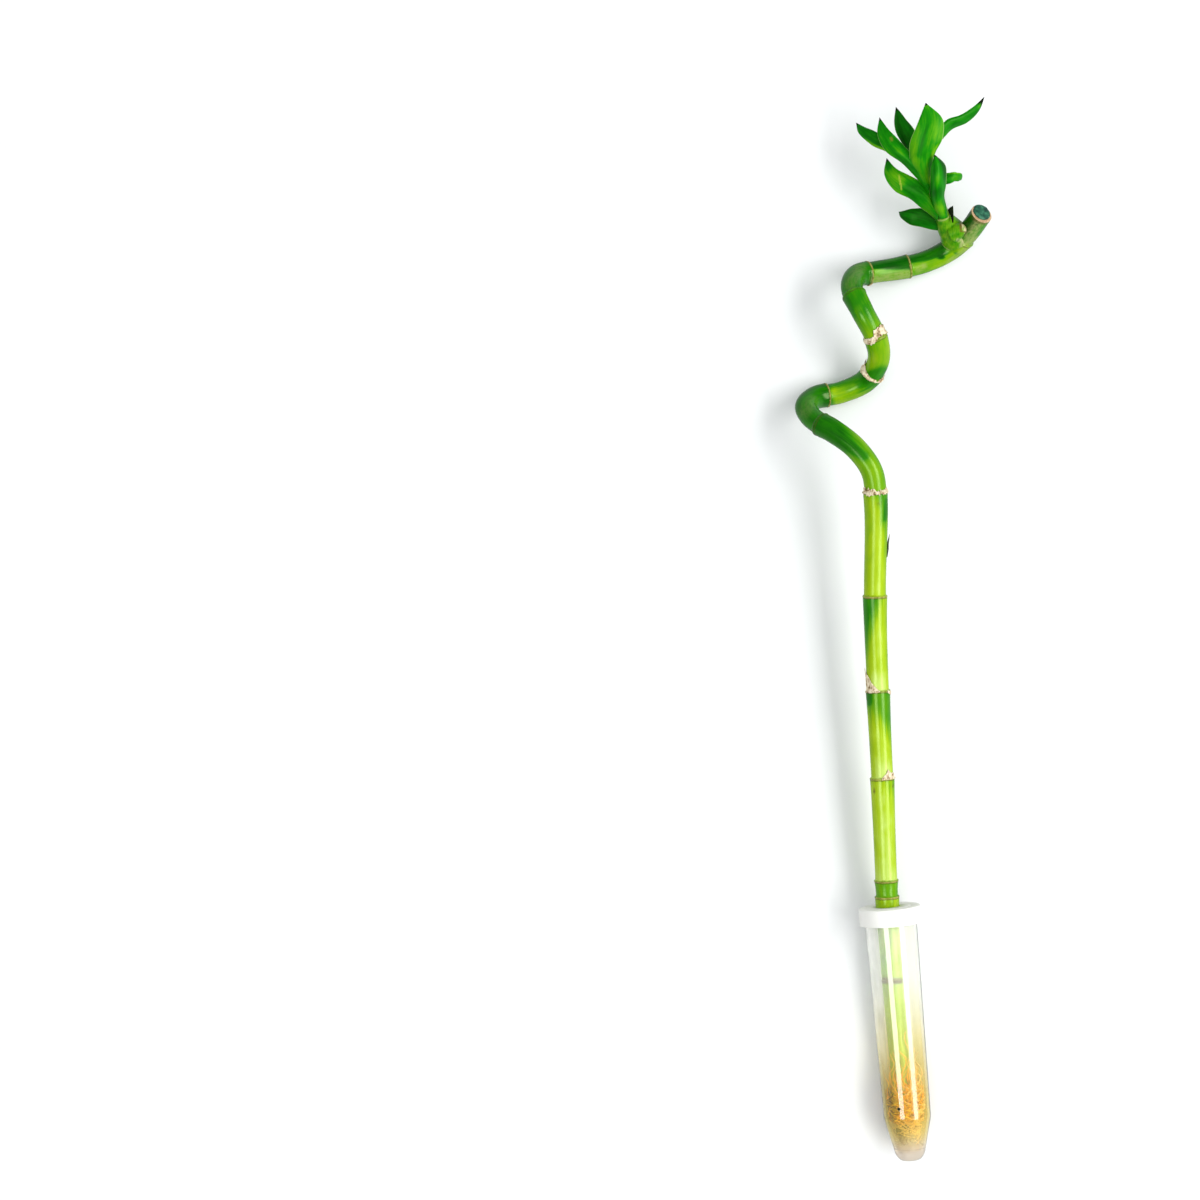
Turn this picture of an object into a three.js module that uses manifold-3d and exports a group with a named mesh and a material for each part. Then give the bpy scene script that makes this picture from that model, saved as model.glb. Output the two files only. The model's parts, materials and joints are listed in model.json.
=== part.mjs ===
// Lucky bamboo: a spiral-trained cane with one leafy side shoot, lying on a surface, its foot in a
// capped water tube. Millimetres, +Z up, the cane along Y with its leaves towards +Y.
import * as THREE from 'three';
import { mergeVertices } from 'three/addons/utils/BufferGeometryUtils.js';
import Module from 'manifold-3d';

const wasm = await Module();
wasm.setup();

// ---- driving dimensions ----

const clearance = 0.3; // kept between two pieces that touch

// Cane: its middle line from the foot to the cut top, lying with two coils touching the surface.
const caneLine = [
  [7.5, -249.4, 9.8],
  [1.1, -177.2, 12.3],
  [-1.5, -142.9, 14.1],
  [-4.4, -82.7, 18.8],
  [-6.7, -40.3, 21.8],
  [-8.3, 1.4, 25.3],
  [-8.4, 44.7, 31.4],
  [-10.3, 58.9, 33.3],
  [-17.8, 69.8, 32.6],
  [-28.3, 78.2, 28.6],
  [-33.8, 81.5, 25.0],
  [-38.0, 85.5, 20.0],
  [-39.5, 90.0, 15.0],
  [-34.5, 94.6, 8.2],
  [-23.0, 97.1, 5.2],
  [-11.6, 102.2, 8.8],
  [-6.1, 111.3, 17.8],
  [-7.9, 121.0, 25.6],
  [-14.5, 133.2, 29.3],
  [-18.8, 144.2, 23.6],
  [-15.7, 150.9, 14.4],
  [-7.9, 153.0, 9.8],
  [5.0, 155.3, 6.5],
  [17.7, 158.7, 5.2],
  [28.3, 164.0, 7.2],
  [35.7, 170.9, 14.6],
  [40.9, 178.4, 26.0],
].map((point) => new THREE.Vector3(...point));
const internodes = [72.5, 39.5, 7.6, 48, 40.8, 44.1, 48.6, 43.2, 31, 26, 22, 22, 23, 20.5, 30.5];
const footRadius = 4.6;
const caneRadius = 5.2; // just above a joint
const flareRadius = 5.6; // at the upper end of a segment, under the next joint
const ridgeRadius = 5.8; // the raised scar of a joint
const ridgeWidth = 1.0;
const caneSides = 16;
const caneStep = 4.5;

// Side shoot: its stem's middle line, from inside the cane to the youngest leaf, and its radii.
const shootLine = [
  [30.5, 168.2, 9.8],
  [28.8, 170.6, 12.6],
  [26.7, 173.4, 16.3],
  [24.1, 177.0, 21.3],
  [21.2, 182.5, 27],
  [18.5, 188.9, 31],
  [15.4, 195.4, 34],
  [13.0, 200.5, 35.5],
].map((point) => new THREE.Vector3(...point));
const shootRadii = [4.8, 5.9, 5.3, 3.4, 2.9, 2.7, 2.3, 1.4];
const shootSides = 12;

// Leaves, lowest first: the middle rib from inside the stem to the tip, the full width, the share of
// the length where the leaf is widest, and its turn and fold about the rib in degrees.
const leafThickness = 0.7;
const leafBaseShare = 0.3; // width of the clasping base, as a share of the full width
const leafTipHalf = 0.3; // half the width of the blunt tip
const leafTaper = 1.8; // how late the sides close in towards the tip
const leaves = [
  {
    rib: [[25, 175, 18], [18.7, 175.7, 19.5], [12.2, 177.0, 19.5], [3.5, 180.2, 15]],
    width: 9, widest: 0.5, turn: -12, fold: 16,
  },
  {
    rib: [[26.6, 173.5, 18], [26.6, 176.9, 22.5], [27.4, 181.9, 24]],
    width: 3, widest: 0.3, turn: 40, fold: 25,
  },
  {
    rib: [[22.6, 177.5, 22], [14.6, 185.4, 27], [4.3, 192.3, 28.5], [-2.8, 203.6, 24.5]],
    width: 9.4, widest: 0.58, turn: -10, fold: 14,
  },
  {
    rib: [[22.6, 176.8, 22], [19.4, 183.6, 32], [19.2, 192.5, 39.5], [18.2, 203.6, 42]],
    width: 10, widest: 0.72, turn: 10, fold: 42,
  },
  {
    rib: [[18.8, 187.5, 30.5], [24.3, 193.5, 33], [29.0, 194.6, 31], [32.0, 194.6, 24]],
    width: 5.6, widest: 0.6, turn: 15, fold: 18,
  },
  {
    rib: [[17.6, 188.4, 31], [7.8, 199.2, 35], [-1.6, 209.7, 34], [-6.5, 221.9, 29]],
    width: 7, widest: 0.74, turn: -10, fold: 14,
  },
  {
    rib: [[15.2, 196.5, 33], [2.2, 207.4, 26.5], [-8.0, 213.2, 22.5], [-16.6, 221.6, 17]],
    width: 5.8, widest: 0.72, turn: -40, fold: 20,
  },
  {
    rib: [[17.6, 188.8, 31], [13.4, 200.5, 40], [14.6, 212.5, 45.5], [12.9, 226.7, 47]],
    width: 13.8, widest: 0.58, turn: 4, fold: 12,
  },
  {
    rib: [[13.6, 198.6, 35], [7.4, 207.5, 30.5], [4.5, 217.0, 28], [1.8, 227.7, 24]],
    width: 7.8, widest: 0.55, turn: 12, fold: 14,
  },
  {
    rib: [[13.5, 199.5, 35], [19.3, 213.2, 37.5], [25.2, 219, 37], [33.3, 222.9, 35.5], [41.5, 231.5, 31]],
    width: 7.8, widest: 0.5, turn: 58, fold: 18,
  },
];
const leafStations = 12;
const leafColumns = 4;

// Wax seal on the cut top: its profile from the cane's cut up to the middle of the dome.
const waxRadius = 4.7;
const waxHeight = 1.2;
const waxSides = 20;
const waxProfile = [
  [0, 0],
  [waxRadius - 0.2, 0],
  [waxRadius, 0.25 * waxHeight],
  [waxRadius - 0.5, 0.6 * waxHeight],
  [0.55 * waxRadius, 0.9 * waxHeight],
  [0, waxHeight],
];

// Water tube: distances are measured from its closed tip along its axis.
const tubeTip = new THREE.Vector2(9.7, -261.3);
const tubeLean = THREE.MathUtils.degToRad(5);
const tipFlatRadius = 4;
const tipRadius = 6.8;
const tipRound = 2.6;
const shoulderAt = 20;
const shoulderRadius = 11.1;
const mouthRadius = 12.2;
const tubeWall = 1.2;
const tubeFloor = 4;
const tubeSides = 32;

// Cap over the tube's mouth.
const capTopAt = 119.2;
const capHeight = 8;
const capRadius = 14.6;
const capRoof = 1.6;
const capEdge = 0.7;

// Water: a level surface that leaves an air pocket under the upper wall, from here to the cap.
const waterTopAt = 56;
const capGap = 1; // between the water and the tube's mouth
const airSize = 400; // a block of air, larger than the tube, cut from the water above its level

// Roots: strands that grow from a collar round the foot, inside a plain hole in the water.
const collarFrom = 5;
const collarTo = 14;
const collarWall = 1.5;
const collarEdge = 0.9; // its wall at both ends
const rootCount = 16;
const rootRadius = 0.75;
const rootBase = 1.2; // thickness at a root's base, as a share of rootRadius
const rootThinning = 0.5; // and how much of it is gone at the tip
const rootSides = 5;
const longestRoot = 30;
const rootTurn = 2.4; // radians round the cane from one root to the next
const rootWander = 0.7; // radians that a root winds to and fro
const rootSpread = 3; // how far a root leans away from the cane
const tipwardReach = 9; // the few roots that hang towards the tip
const roomRadius = 8.8;
const roomFlare = 6; // length over which the hole widens above the shoulder
const roomNeck = 8; // length over which it closes in on the cane
const roomTo = 62;
const waterWall = 0.6;

// ---- booleans ----

function toSolid(geometry) {
  const bare = geometry.clone();
  bare.deleteAttribute('normal');
  bare.deleteAttribute('uv');
  const merged = mergeVertices(bare, 1e-4);
  return new wasm.Manifold(new wasm.Mesh({
    numProp: 3,
    vertProperties: new Float32Array(merged.attributes.position.array),
    triVerts: new Uint32Array(merged.index.array),
  }));
}

// The largest body of a solid: scraps that a cut leaves loose are dropped.
function toGeometry(solid) {
  const bodies = solid.decompose();
  bodies.sort((one, other) => other.volume() - one.volume());
  const mesh = bodies[0].getMesh();
  const geometry = new THREE.BufferGeometry();
  geometry.setAttribute('position', new THREE.BufferAttribute(mesh.vertProperties, 3));
  geometry.setIndex(new THREE.BufferAttribute(mesh.triVerts, 1));
  return geometry;
}

// ---- swept round shapes ----

// A closed body of round sections along a curve, one section per station { at, radius }.
function sweep(curve, stations, sides) {
  const vertices = [];
  const indices = [];
  const normal = new THREE.Vector3(0, 0, 1);
  const side = new THREE.Vector3();
  for (const { at, radius } of stations) {
    const centre = curve.getPointAt(at);
    const tangent = curve.getTangentAt(at);
    normal.addScaledVector(tangent, -normal.dot(tangent)).normalize();
    side.crossVectors(normal, tangent);
    for (let k = 0; k < sides; k += 1) {
      const angle = ((k + 0.5) / sides) * 2 * Math.PI;
      const point = centre.clone();
      point.addScaledVector(side, radius * Math.cos(angle));
      point.addScaledVector(normal, radius * Math.sin(angle));
      vertices.push(...point.toArray());
    }
  }
  const first = vertices.length / 3;
  vertices.push(...curve.getPointAt(stations[0].at).toArray());
  vertices.push(...curve.getPointAt(stations[stations.length - 1].at).toArray());
  for (let i = 0; i + 1 < stations.length; i += 1) {
    for (let k = 0; k < sides; k += 1) {
      const a = i * sides + k;
      const b = i * sides + ((k + 1) % sides);
      indices.push(a, b, b + sides, a, b + sides, a + sides);
    }
  }
  const last = (stations.length - 1) * sides;
  for (let k = 0; k < sides; k += 1) {
    const next = (k + 1) % sides;
    indices.push(first, next, k);
    indices.push(first + 1, last + k, last + next);
  }
  const geometry = new THREE.BufferGeometry();
  geometry.setAttribute('position', new THREE.Float32BufferAttribute(vertices, 3));
  geometry.setIndex(indices);
  return geometry;
}

// ---- cane ----

const caneCurve = new THREE.CatmullRomCurve3(caneLine, false, 'centripetal');
caneCurve.arcLengthDivisions = 2000;
const caneLength = caneCurve.getLength();

// Distances of the joints from the foot.
const joints = [];
for (const length of internodes) {
  joints.push((joints[joints.length - 1] ?? 0) + length);
}

// The cane's sections: each segment starts slim above a joint and flares up to the next one.
function caneStations(extra) {
  const stations = [];
  const ends = [0, ...joints, caneLength];
  for (let i = 0; i + 1 < ends.length; i += 1) {
    const start = ends[i] + (i > 0 ? ridgeWidth : 0);
    const isLast = i + 2 === ends.length;
    const end = ends[i + 1] - (isLast ? 0 : ridgeWidth);
    const steps = Math.max(2, Math.round((end - start) / caneStep));
    const slim = i === 0 ? footRadius : caneRadius;
    for (let k = 0; k <= steps; k += 1) {
      const share = k / steps;
      const radius = slim + (flareRadius - caneRadius) * share ** 3;
      stations.push({ at: (start + (end - start) * share) / caneLength, radius: radius + extra });
    }
    if (!isLast) {
      const ridge = ridgeRadius - (i === 0 ? caneRadius - footRadius : 0);
      stations.push({ at: (ends[i + 1] - ridgeWidth / 2) / caneLength, radius: ridge + extra });
      stations.push({ at: ends[i + 1] / caneLength, radius: ridge + extra });
    }
  }
  return stations;
}

function makeCane() {
  return sweep(caneCurve, caneStations(0), caneSides);
}

// The space that the cane needs in a neighbour, with the usual clearance.
function caneRoom() {
  return toSolid(sweep(caneCurve, caneStations(clearance), caneSides));
}

// ---- leafy side shoot ----

// Half the width of a leaf along its rib: a narrow clasping base, a full middle, a long point.
function leafHalfWidth(share, leaf) {
  const rise = Math.min(share / leaf.widest, 1);
  const fall = Math.max((share - leaf.widest) / (1 - leaf.widest), 0);
  const body = leafBaseShare + (1 - leafBaseShare) * Math.sin((rise * Math.PI) / 2) ** 2;
  return (leaf.width / 2) * body * (1 - fall ** leafTaper) + leafTipHalf * fall;
}

// A leaf: a thin closed blade, folded along its rib, with both faces split into triangles alike.
function makeLeaf(leaf) {
  const rib = new THREE.CatmullRomCurve3(leaf.rib.map((point) => new THREE.Vector3(...point)));
  const turn = THREE.MathUtils.degToRad(leaf.turn);
  const fold = THREE.MathUtils.degToRad(leaf.fold);
  const faces = [[], []];
  for (let i = 0; i <= leafStations; i += 1) {
    const share = i / leafStations;
    const centre = rib.getPointAt(share);
    const tangent = rib.getTangentAt(share);
    const up = new THREE.Vector3(0, 0, 1);
    up.addScaledVector(tangent, -up.dot(tangent)).normalize().applyAxisAngle(tangent, turn);
    const side = new THREE.Vector3().crossVectors(tangent, up);
    const half = leafHalfWidth(share, leaf);
    for (let j = 0; j <= leafColumns; j += 1) {
      const across = (2 * j) / leafColumns - 1;
      const point = centre.clone();
      point.addScaledVector(side, half * across * Math.cos(fold));
      point.addScaledVector(up, half * Math.abs(across) * Math.sin(fold));
      faces[0].push(point.clone().addScaledVector(up, leafThickness / 2));
      faces[1].push(point.clone().addScaledVector(up, -leafThickness / 2));
    }
  }
  return closeSheet(faces, leafStations, leafColumns);
}

// Joins an upper and a lower grid of points into one closed body.
function closeSheet([upper, lower], rows, columns) {
  const width = columns + 1;
  const under = upper.length;
  const indices = [];
  for (let i = 0; i < rows; i += 1) {
    for (let j = 0; j < columns; j += 1) {
      const a = i * width + j;
      const b = a + width;
      indices.push(a, a + 1, b + 1, a, b + 1, b);
      indices.push(under + a, under + b + 1, under + a + 1);
      indices.push(under + a, under + b, under + b + 1);
    }
  }
  const rim = [];
  for (let j = 0; j < columns; j += 1) {
    rim.push(j);
  }
  for (let i = 0; i < rows; i += 1) {
    rim.push(i * width + columns);
  }
  for (let j = columns; j > 0; j -= 1) {
    rim.push(rows * width + j);
  }
  for (let i = rows; i > 0; i -= 1) {
    rim.push(i * width);
  }
  for (let k = 0; k < rim.length; k += 1) {
    const a = rim[k];
    const b = rim[(k + 1) % rim.length];
    indices.push(a, under + a, under + b, a, under + b, b);
  }
  const geometry = new THREE.BufferGeometry();
  const points = [...upper, ...lower].flatMap((point) => point.toArray());
  geometry.setAttribute('position', new THREE.Float32BufferAttribute(points, 3));
  geometry.setIndex(indices);
  return geometry;
}

function makeLeafyShoot() {
  const curve = new THREE.CatmullRomCurve3(shootLine, false, 'centripetal');
  const steps = shootRadii.length - 1;
  const stations = shootRadii.map((radius, i) => ({ at: i / steps, radius }));
  let shoot = toSolid(sweep(curve, stations, shootSides));
  for (const leaf of leaves) {
    shoot = shoot.add(toSolid(makeLeaf(leaf)));
  }
  return toGeometry(shoot.subtract(caneRoom()));
}

// ---- wax seal ----

function makeWaxSeal() {
  const profile = waxProfile.map(([radius, height]) => new THREE.Vector2(radius, clearance + height));
  return new THREE.LatheGeometry(profile, waxSides);
}

function placeOnCut(mesh) {
  mesh.position.copy(caneCurve.getPointAt(1));
  mesh.quaternion.setFromUnitVectors(new THREE.Vector3(0, 1, 0), caneCurve.getTangentAt(1));
}

// ---- water tube, cap and water: turned shapes on one axis ----

const flatOf = Math.cos(Math.PI / tubeSides); // a flat of the many-sided tube against its corner
const capSkirtAt = capTopAt - capHeight;
const tubeTilt = Math.asin(((capRadius - shoulderRadius) * flatOf) / (capSkirtAt - shoulderAt));
const tubeTipHeight = shoulderRadius * flatOf * Math.cos(tubeTilt) - shoulderAt * Math.sin(tubeTilt);
const tubeMouthAt = capTopAt - capRoof - clearance;
const tubeAxis = new THREE.Vector3(
  -Math.sin(tubeLean) * Math.cos(tubeTilt),
  Math.cos(tubeLean) * Math.cos(tubeTilt),
  Math.sin(tubeTilt),
);

// Stands a shape that was turned about Y on the tube's axis, with a flat side down.
function tubePlacement() {
  const side = new THREE.Vector3().crossVectors(tubeAxis, new THREE.Vector3(0, 0, 1)).normalize();
  const up = new THREE.Vector3().crossVectors(side, tubeAxis);
  const matrix = new THREE.Matrix4().makeBasis(side, tubeAxis, up);
  matrix.multiply(new THREE.Matrix4().makeRotationY(Math.PI / tubeSides));
  return matrix.setPosition(tubeTip.x, tubeTip.y, tubeTipHeight);
}

function turned(profile) {
  const points = profile.map((point) => new THREE.Vector2(...point));
  return new THREE.LatheGeometry(points, tubeSides).applyMatrix4(tubePlacement());
}

// Inner radius of the tube at a distance from its tip.
function boreRadius(at) {
  const cone = tipRadius + ((shoulderRadius - tipRadius) * (at - tipRound)) / (shoulderAt - tipRound);
  const taper = (mouthRadius - shoulderRadius) / (tubeMouthAt - shoulderAt);
  const outer = at < shoulderAt ? cone : shoulderRadius + taper * (at - shoulderAt);
  return outer - tubeWall;
}

function makeTube() {
  return turned([
    [0, 0],
    [tipFlatRadius, 0],
    [(tipFlatRadius + 2 * tipRadius) / 3, tipRound / 3],
    [tipRadius, tipRound],
    [shoulderRadius, shoulderAt],
    [mouthRadius, tubeMouthAt],
    [boreRadius(tubeMouthAt), tubeMouthAt],
    [boreRadius(shoulderAt), shoulderAt],
    [boreRadius(tubeFloor), tubeFloor],
    [0, tubeFloor],
  ]);
}

function makeCap() {
  const skirtRadius = mouthRadius + clearance;
  const blank = turned([
    [0, capTopAt - capRoof],
    [skirtRadius, capTopAt - capRoof],
    [skirtRadius, capSkirtAt],
    [capRadius, capSkirtAt],
    [capRadius, capTopAt - capEdge],
    [capRadius - capEdge, capTopAt],
    [0, capTopAt],
  ]);
  return toGeometry(toSolid(blank).subtract(caneRoom()));
}

// Radius of the plain hole in the water that holds the roots.
function rootRoomRadius(at) {
  return Math.min(roomRadius, boreRadius(at) - clearance - waterWall);
}

function rootRoom() {
  const from = tubeFloor + clearance + waterWall;
  return turned([
    [0, from],
    [rootRoomRadius(from), from],
    [rootRoomRadius(shoulderAt), shoulderAt],
    [roomRadius, shoulderAt + roomFlare],
    [roomRadius, roomTo - roomNeck],
    [footRadius + 2 * clearance, roomTo],
    [0, roomTo],
  ]);
}

function makeWater() {
  const top = tubeMouthAt - capGap;
  const full = turned([
    [0, tubeFloor + clearance],
    [boreRadius(tubeFloor) - clearance, tubeFloor + clearance],
    [boreRadius(shoulderAt) - clearance, shoulderAt],
    [boreRadius(top) - clearance, top],
    [0, top],
  ]);
  const axisHeight = tubeTipHeight + waterTopAt * Math.sin(tubeTilt);
  const level = axisHeight + boreRadius(waterTopAt) - clearance;
  const air = new THREE.BoxGeometry(airSize, airSize, airSize);
  air.translate(tubeTip.x, tubeTip.y, level + airSize / 2);
  const water = toSolid(full).subtract(toSolid(air));
  return toGeometry(water.subtract(caneRoom()).subtract(toSolid(rootRoom())));
}

// ---- roots ----

// One root in the tube's own axes: out of the collar, then winding along the tube beside the cane.
function rootPath(index, collarMiddle) {
  const towardsCap = index % 3 !== 0;
  const length = longestRoot * (0.45 + 0.55 * Math.abs(Math.sin(1.7 * index)));
  const reach = towardsCap ? length : -tipwardReach;
  const points = [];
  for (const share of [0, 0.15, 0.4, 0.7, 1]) {
    const at = collarMiddle.y + (collarTo - collarFrom) * 0.33 * Math.sin(index) + reach * share;
    const limit = rootRoomRadius(at) - clearance - rootBase * rootRadius;
    const spread = Math.min(footRadius + collarEdge + rootSpread * share, limit);
    const angle = rootTurn * index + rootWander * Math.sin(index + 3 * share);
    const shift = 1 - Math.min(3 * share, 1);
    const x = collarMiddle.x * shift + spread * Math.cos(angle);
    const z = collarMiddle.z * shift + spread * Math.sin(angle);
    points.push(new THREE.Vector3(x, at, z));
  }
  return new THREE.CatmullRomCurve3(points);
}

function makeRoots() {
  const placement = tubePlacement();
  const collarStations = [
    { at: collarFrom / caneLength, radius: footRadius + collarEdge },
    { at: (collarFrom + collarTo) / 2 / caneLength, radius: footRadius + collarWall },
    { at: collarTo / caneLength, radius: footRadius + collarEdge },
  ];
  const collarMiddle = caneCurve.getPointAt(collarStations[1].at);
  collarMiddle.applyMatrix4(placement.clone().invert());
  const rootStations = [0, 0.25, 0.5, 0.75, 1].map((at) => (
    { at, radius: rootRadius * (rootBase - rootThinning * at) }
  ));
  let roots = toSolid(sweep(caneCurve, collarStations, caneSides));
  for (let index = 0; index < rootCount; index += 1) {
    const strand = sweep(rootPath(index, collarMiddle), rootStations, rootSides);
    roots = roots.add(toSolid(strand.applyMatrix4(placement)));
  }
  return toGeometry(roots.subtract(caneRoom()));
}

// ---- the object ----

function finish(color, roughness, extra = {}) {
  return new THREE.MeshStandardMaterial({ color, roughness, metalness: 0, ...extra });
}

const bamboo = new THREE.Group();

function addPiece(name, geometry, material) {
  const mesh = new THREE.Mesh(geometry, material);
  mesh.name = name;
  bamboo.add(mesh);
  return mesh;
}

addPiece('cane', makeCane(), finish('#7fb81e', 0.35));
addPiece('leafy_shoot', makeLeafyShoot(), finish('#2f8f1b', 0.4));
placeOnCut(addPiece('wax_seal', makeWaxSeal(), finish('#1f6f66', 0.5)));
addPiece('roots', makeRoots(), finish('#d79a4a', 0.7));
addPiece('tube', makeTube(), finish('#eef2ee', 0.1, { transparent: true, opacity: 0.3 }));
addPiece('cap', makeCap(), finish('#f4f4f0', 0.6));
addPiece('water', makeWater(), finish('#e8eddc', 0.05, { transparent: true, opacity: 0.4 }));

// The origin: the middle of the footprint, on the surface that the object lies on.
const extent = new THREE.Box3().setFromObject(bamboo, true);
const middle = extent.getCenter(new THREE.Vector3());
bamboo.position.set(-middle.x, -middle.y, -extent.min.z);

export default bamboo;
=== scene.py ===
# Lucky bamboo: a cane trained into a spiral, lying down, with a leafy shoot below its waxed top
# and its rooted foot in a capped tube of water.
import json
import math

import bpy
import numpy as np
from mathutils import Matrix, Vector, noise


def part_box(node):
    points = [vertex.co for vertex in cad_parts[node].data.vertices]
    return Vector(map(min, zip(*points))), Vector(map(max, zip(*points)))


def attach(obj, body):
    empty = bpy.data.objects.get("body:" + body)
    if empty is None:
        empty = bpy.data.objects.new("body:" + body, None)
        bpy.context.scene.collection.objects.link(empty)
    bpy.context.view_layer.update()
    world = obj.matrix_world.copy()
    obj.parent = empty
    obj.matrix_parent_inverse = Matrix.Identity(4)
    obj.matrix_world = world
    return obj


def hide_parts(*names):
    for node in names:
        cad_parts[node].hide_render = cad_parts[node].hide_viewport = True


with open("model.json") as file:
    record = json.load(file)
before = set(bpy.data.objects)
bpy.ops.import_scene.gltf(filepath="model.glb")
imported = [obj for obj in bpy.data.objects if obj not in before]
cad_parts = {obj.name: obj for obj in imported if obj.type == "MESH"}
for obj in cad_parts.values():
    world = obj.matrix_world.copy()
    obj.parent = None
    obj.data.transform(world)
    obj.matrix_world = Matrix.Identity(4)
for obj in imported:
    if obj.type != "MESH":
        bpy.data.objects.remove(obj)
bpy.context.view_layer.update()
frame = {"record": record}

# ---- camera, floor and light ----
# The camera hangs straight above the floor, which is white card that runs on past the view. A pale
# room lights it, with a strong soft box high on the right and a weak one on the left. Two windows
# give no light and show only in reflections.
IMAGE_WIDTH = 1200  # pixels
FLOOR_PIXEL = 0.00047  # metres of floor in a pixel
LENS_MM = 100
SENSOR_MM = 36
CAMERA_HEIGHT = FLOOR_PIXEL * IMAGE_WIDTH * LENS_MM / SENSOR_MM
CAMERA_PLACE = Vector((-0.1362, 0.0149, CAMERA_HEIGHT))
CAMERA_SIGHT = 20  # metres
FLOOR_HALF = 6.0


def spot(px, py, height_mm):
    """The point that shows at a pixel of the photograph, at a height above the floor."""
    height = height_mm / 1000
    pixel = FLOOR_PIXEL * (1 - height / CAMERA_HEIGHT)
    across = (px - IMAGE_WIDTH / 2) * pixel
    up = (IMAGE_WIDTH / 2 - py) * pixel
    return Vector((CAMERA_PLACE.x + across, CAMERA_PLACE.y + up, height))


def pixels_of(points):
    """The pixels of the photograph at which an array of points shows."""
    pixel = FLOOR_PIXEL * (1 - points[:, 2] / CAMERA_HEIGHT)
    px = IMAGE_WIDTH / 2 + (points[:, 0] - CAMERA_PLACE.x) / pixel
    py = IMAGE_WIDTH / 2 - (points[:, 1] - CAMERA_PLACE.y) / pixel
    return np.stack([px, py], axis=1)


def link(thing):
    bpy.context.scene.collection.objects.link(thing)
    return thing


camera_data = bpy.data.cameras.new("camera")
camera_data.lens = LENS_MM
camera_data.sensor_width = SENSOR_MM
camera_data.clip_end = CAMERA_SIGHT
camera = link(bpy.data.objects.new("camera", camera_data))
camera.location = CAMERA_PLACE
bpy.context.scene.camera = camera

corners = [(x * FLOOR_HALF, y * FLOOR_HALF, 0) for x, y in ((-1, -1), (1, -1), (1, 1), (-1, 1))]
floor_mesh = bpy.data.meshes.new("floor")
floor_mesh.from_pydata(corners, [], [(0, 1, 2, 3)])
floor = link(bpy.data.objects.new("floor", floor_mesh))
floor.visible_glossy = False


class Nodes:
    """Short calls to build one material's node tree."""

    def __init__(self, name):
        self.material = bpy.data.materials.new(name)
        self.material.use_nodes = True
        self.tree = self.material.node_tree
        self.tree.nodes.clear()
        output = self.add("ShaderNodeOutputMaterial")
        self.shader = self.add("ShaderNodeBsdfPrincipled")
        self.put(self.shader.outputs[0], output.inputs["Surface"])

    def add(self, kind, **settings):
        node = self.tree.nodes.new(kind)
        for key, value in settings.items():
            setattr(node, key, value)
        return node

    def put(self, value, socket):
        """Gives a socket a plain value, or joins it to the socket that it is given."""
        if isinstance(value, bpy.types.NodeSocket):
            self.tree.links.new(value, socket)
        else:
            socket.default_value = (*value, 1) if socket.type == "RGBA" else value

    def set(self, **values):
        """Values for the shader's own sockets: base_color=..., roughness=..."""
        for key, value in values.items():
            self.put(value, self.shader.inputs[key.replace("_", " ").title().replace("Ior", "IOR")])

    def attribute(self, name, output="Fac"):
        return self.add("ShaderNodeAttribute", attribute_name=name).outputs[output]

    def object_place(self):
        return self.add("ShaderNodeTexCoord").outputs["Object"]

    def noise(self, place, scale, detail=3.0, roughness=0.55):
        """Soft noise, with one scale for all directions or one for each."""
        if isinstance(scale, tuple):
            mapping = self.add("ShaderNodeMapping")
            self.put(scale, mapping.inputs["Scale"])
            self.put(place, mapping.inputs["Vector"])
            place, scale = mapping.outputs[0], 1
        texture = self.add("ShaderNodeTexNoise")
        self.put(scale, texture.inputs["Scale"])
        self.put(detail, texture.inputs["Detail"])
        self.put(roughness, texture.inputs["Roughness"])
        self.put(place, texture.inputs["Vector"])
        return texture.outputs["Fac"]

    def math(self, operation, *values, clamp=False):
        node = self.add("ShaderNodeMath", operation=operation, use_clamp=clamp)
        for value, socket in zip(values, node.inputs):
            self.put(value, socket)
        return node.outputs[0]

    def spread(self, value, low, high, to_low=0, to_high=1):
        """A value's range from low to high, taken to another range and held there."""
        node = self.add("ShaderNodeMapRange", clamp=True)
        for number, socket in zip((value, low, high, to_low, to_high), node.inputs):
            self.put(number, socket)
        return node.outputs[0]

    def ramp(self, value, *stops):
        node = self.add("ShaderNodeValToRGB")
        elements = node.color_ramp.elements
        while len(elements) < len(stops):
            elements.new(0.5)
        for element, (place, colour) in zip(elements, stops):
            element.position = place
            element.color = (*colour, 1)
        self.put(value, node.inputs[0])
        return node.outputs[0]

    def mix(self, share, first, second):
        node = self.add("ShaderNodeMix", data_type="RGBA")
        for value, number in ((share, 0), (first, 6), (second, 7)):
            self.put(value, node.inputs[number])
        return node.outputs[2]

    def bump(self, height, strength, distance):
        node = self.add("ShaderNodeBump")
        for label, value in (("Strength", strength), ("Distance", distance), ("Height", height)):
            self.put(value, node.inputs[label])
        self.set(normal=node.outputs[0])


card = Nodes("white_card")
clouds = card.noise(card.object_place(), 30)
card.set(
    base_color=card.ramp(clouds, (0.3, (0.73, 0.74, 0.74)), (0.7, (0.75, 0.755, 0.755))),
    roughness=0.9,
    specular_ior_level=0.1,
)
floor_mesh.materials.append(card.material)

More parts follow.
